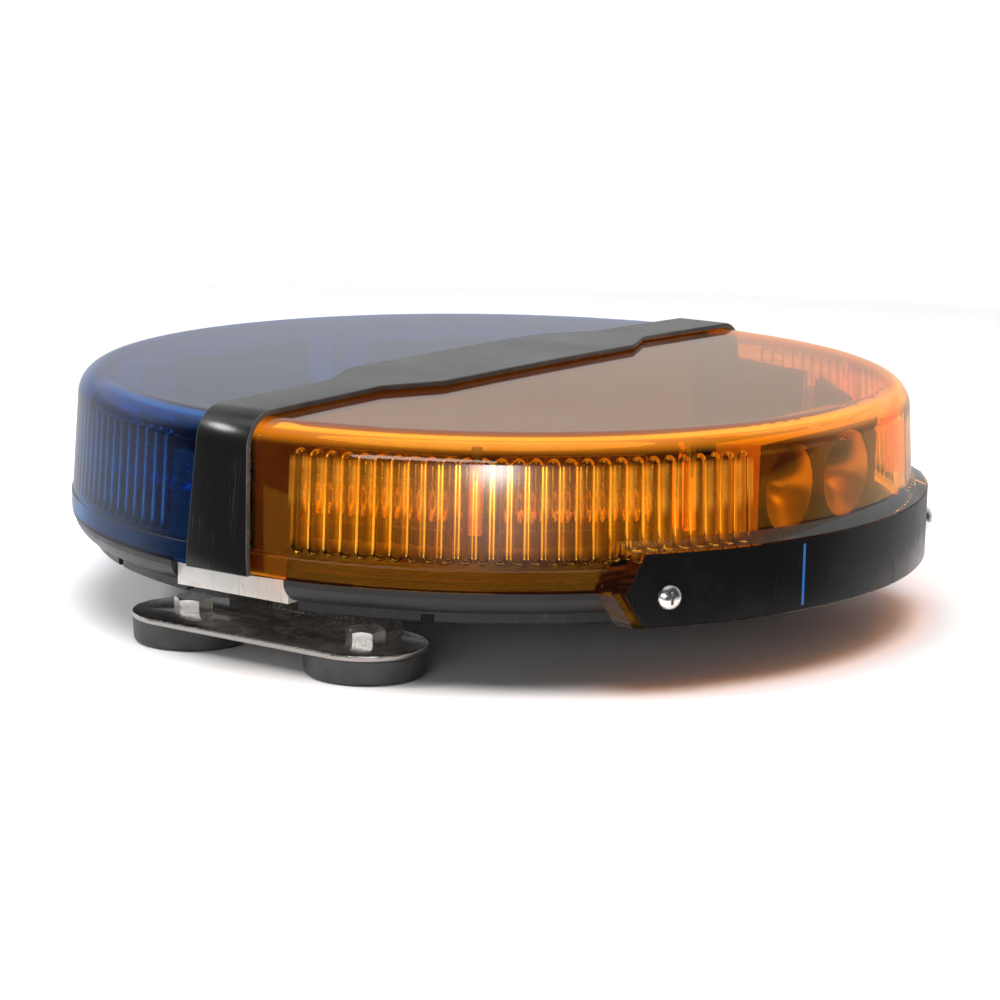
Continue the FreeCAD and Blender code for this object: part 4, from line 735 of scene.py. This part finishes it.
def make_glow_card(place, target):
    """A card with a small bright middle and a wide faint glow, for the flash on the flutes."""
    card = Finish("glow_card")
    x, y, z = card.axes()
    core = ((x / 0.034) ** 2.0 + ((y - 0.009) / 0.0065) ** 2.0) * -0.5
    haze = ((x / 0.10) ** 2.0 + ((y + 0.006) / 0.020) ** 2.0) * -0.5
    glow = core.maths("EXPONENT", core) + 0.10 * haze.maths("EXPONENT", haze)
    finish = card.done(card.surface(
        Base_Color=BLACK, Roughness=1.0,
        Emission_Color=card.blend(glow, BLACK, WHITE),
        Emission_Strength=22.0))
    mesh = bpy.data.meshes.new("glow_card")
    mesh.from_pydata([(-0.3, -0.05, 0.0), (0.3, -0.05, 0.0), (0.3, 0.05, 0.0), (-0.3, 0.05, 0.0)],
                     [], [(0, 1, 2, 3)])
    mesh.materials.append(finish)
    glow_card = bpy.data.objects.new("glow_card", mesh)
    bpy.context.scene.collection.objects.link(glow_card)
    aim = Vector(target) - Vector(place)
    glow_card.location = place
    glow_card.rotation_euler = (-aim).to_track_quat("Z", "Y").to_euler()
    glow_card.visible_camera = False
    glow_card.visible_diffuse = False
    glow_card.visible_shadow = False


def light_studio():
    """A pale room, dark low down on the camera's side, and four soft lights."""
    world = bpy.data.worlds.new("studio")
    bpy.context.scene.world = world
    world.use_nodes = True
    room = Finish("room", world.node_tree)
    way = room.node("TexCoord", output="Generated")
    rise = room.node("SeparateXYZ", inputs={"Vector": way}, output="Z")
    ahead = (-math.sin(CAMERA_TURN), math.cos(CAMERA_TURN), 0.0)
    away = room.node("VectorMath", {"operation": "DOT_PRODUCT"}, {0: way, 1: ahead}, "Value")
    behind = room.ramp(away, -0.05, 0.4, smooth=True) * room.ramp(rise, 0.18, 0.26, 0.72, 1.0)
    bright = room.ramp(rise, 0.7, 0.97, smooth=True).most(behind)
    seen = room.node("LightPath", output="Is Camera Ray")
    glow = room.node("Background", inputs={
        "Color": WHITE, "Strength": (0.05 + 0.72 * bright).most(seen)})
    end = room.tree.nodes.new("ShaderNodeOutputWorld")
    room.tree.links.new(glow.socket, end.inputs["Surface"])
    overhead = soft_light("overhead", (0.1, -0.2, 1.6), (0.0, 0.0, 0.05), 1.6, 1.6, 34.0)
    overhead.visible_glossy = False
    soft_light("left_lamp", (-0.85, -0.88, 0.87), (0.0, -0.1, 0.08), 0.45, 0.3, 9.0)
    soft_light("bolt_lamp", (0.21, -0.61, 0.125), (0.0, -0.14, 0.014), 0.4, 0.13, 0.7)
    make_glow_card((0.340, -0.468, 0.052), (0.09, -0.14, 0.062))


def make_camera():
    back = Vector((math.sin(CAMERA_TURN) * math.cos(CAMERA_LIFT),
                   -math.cos(CAMERA_TURN) * math.cos(CAMERA_LIFT), math.sin(CAMERA_LIFT)))
    level = Vector((math.cos(CAMERA_TURN), math.sin(CAMERA_TURN), 0.0))
    right = math.cos(CAMERA_ROLL) * level + math.sin(CAMERA_ROLL) * back.cross(level)
    lens = bpy.data.cameras.new("camera")
    lens.lens = CAMERA_LENS
    lens.sensor_width = 36.0
    lens.shift_x, lens.shift_y = CAMERA_SHIFT
    lens.clip_start = 0.05
    camera = bpy.data.objects.new("camera", lens)
    bpy.context.scene.collection.objects.link(camera)
    turn = Matrix((right, back.cross(right), back)).transposed()
    camera.matrix_world = Matrix.Translation(back * CAMERA_DISTANCE) @ turn.to_4x4()
    bpy.context.scene.camera = camera


make_stage()
light_studio()
make_camera()
bpy.context.scene.view_settings.view_transform = "Standard"
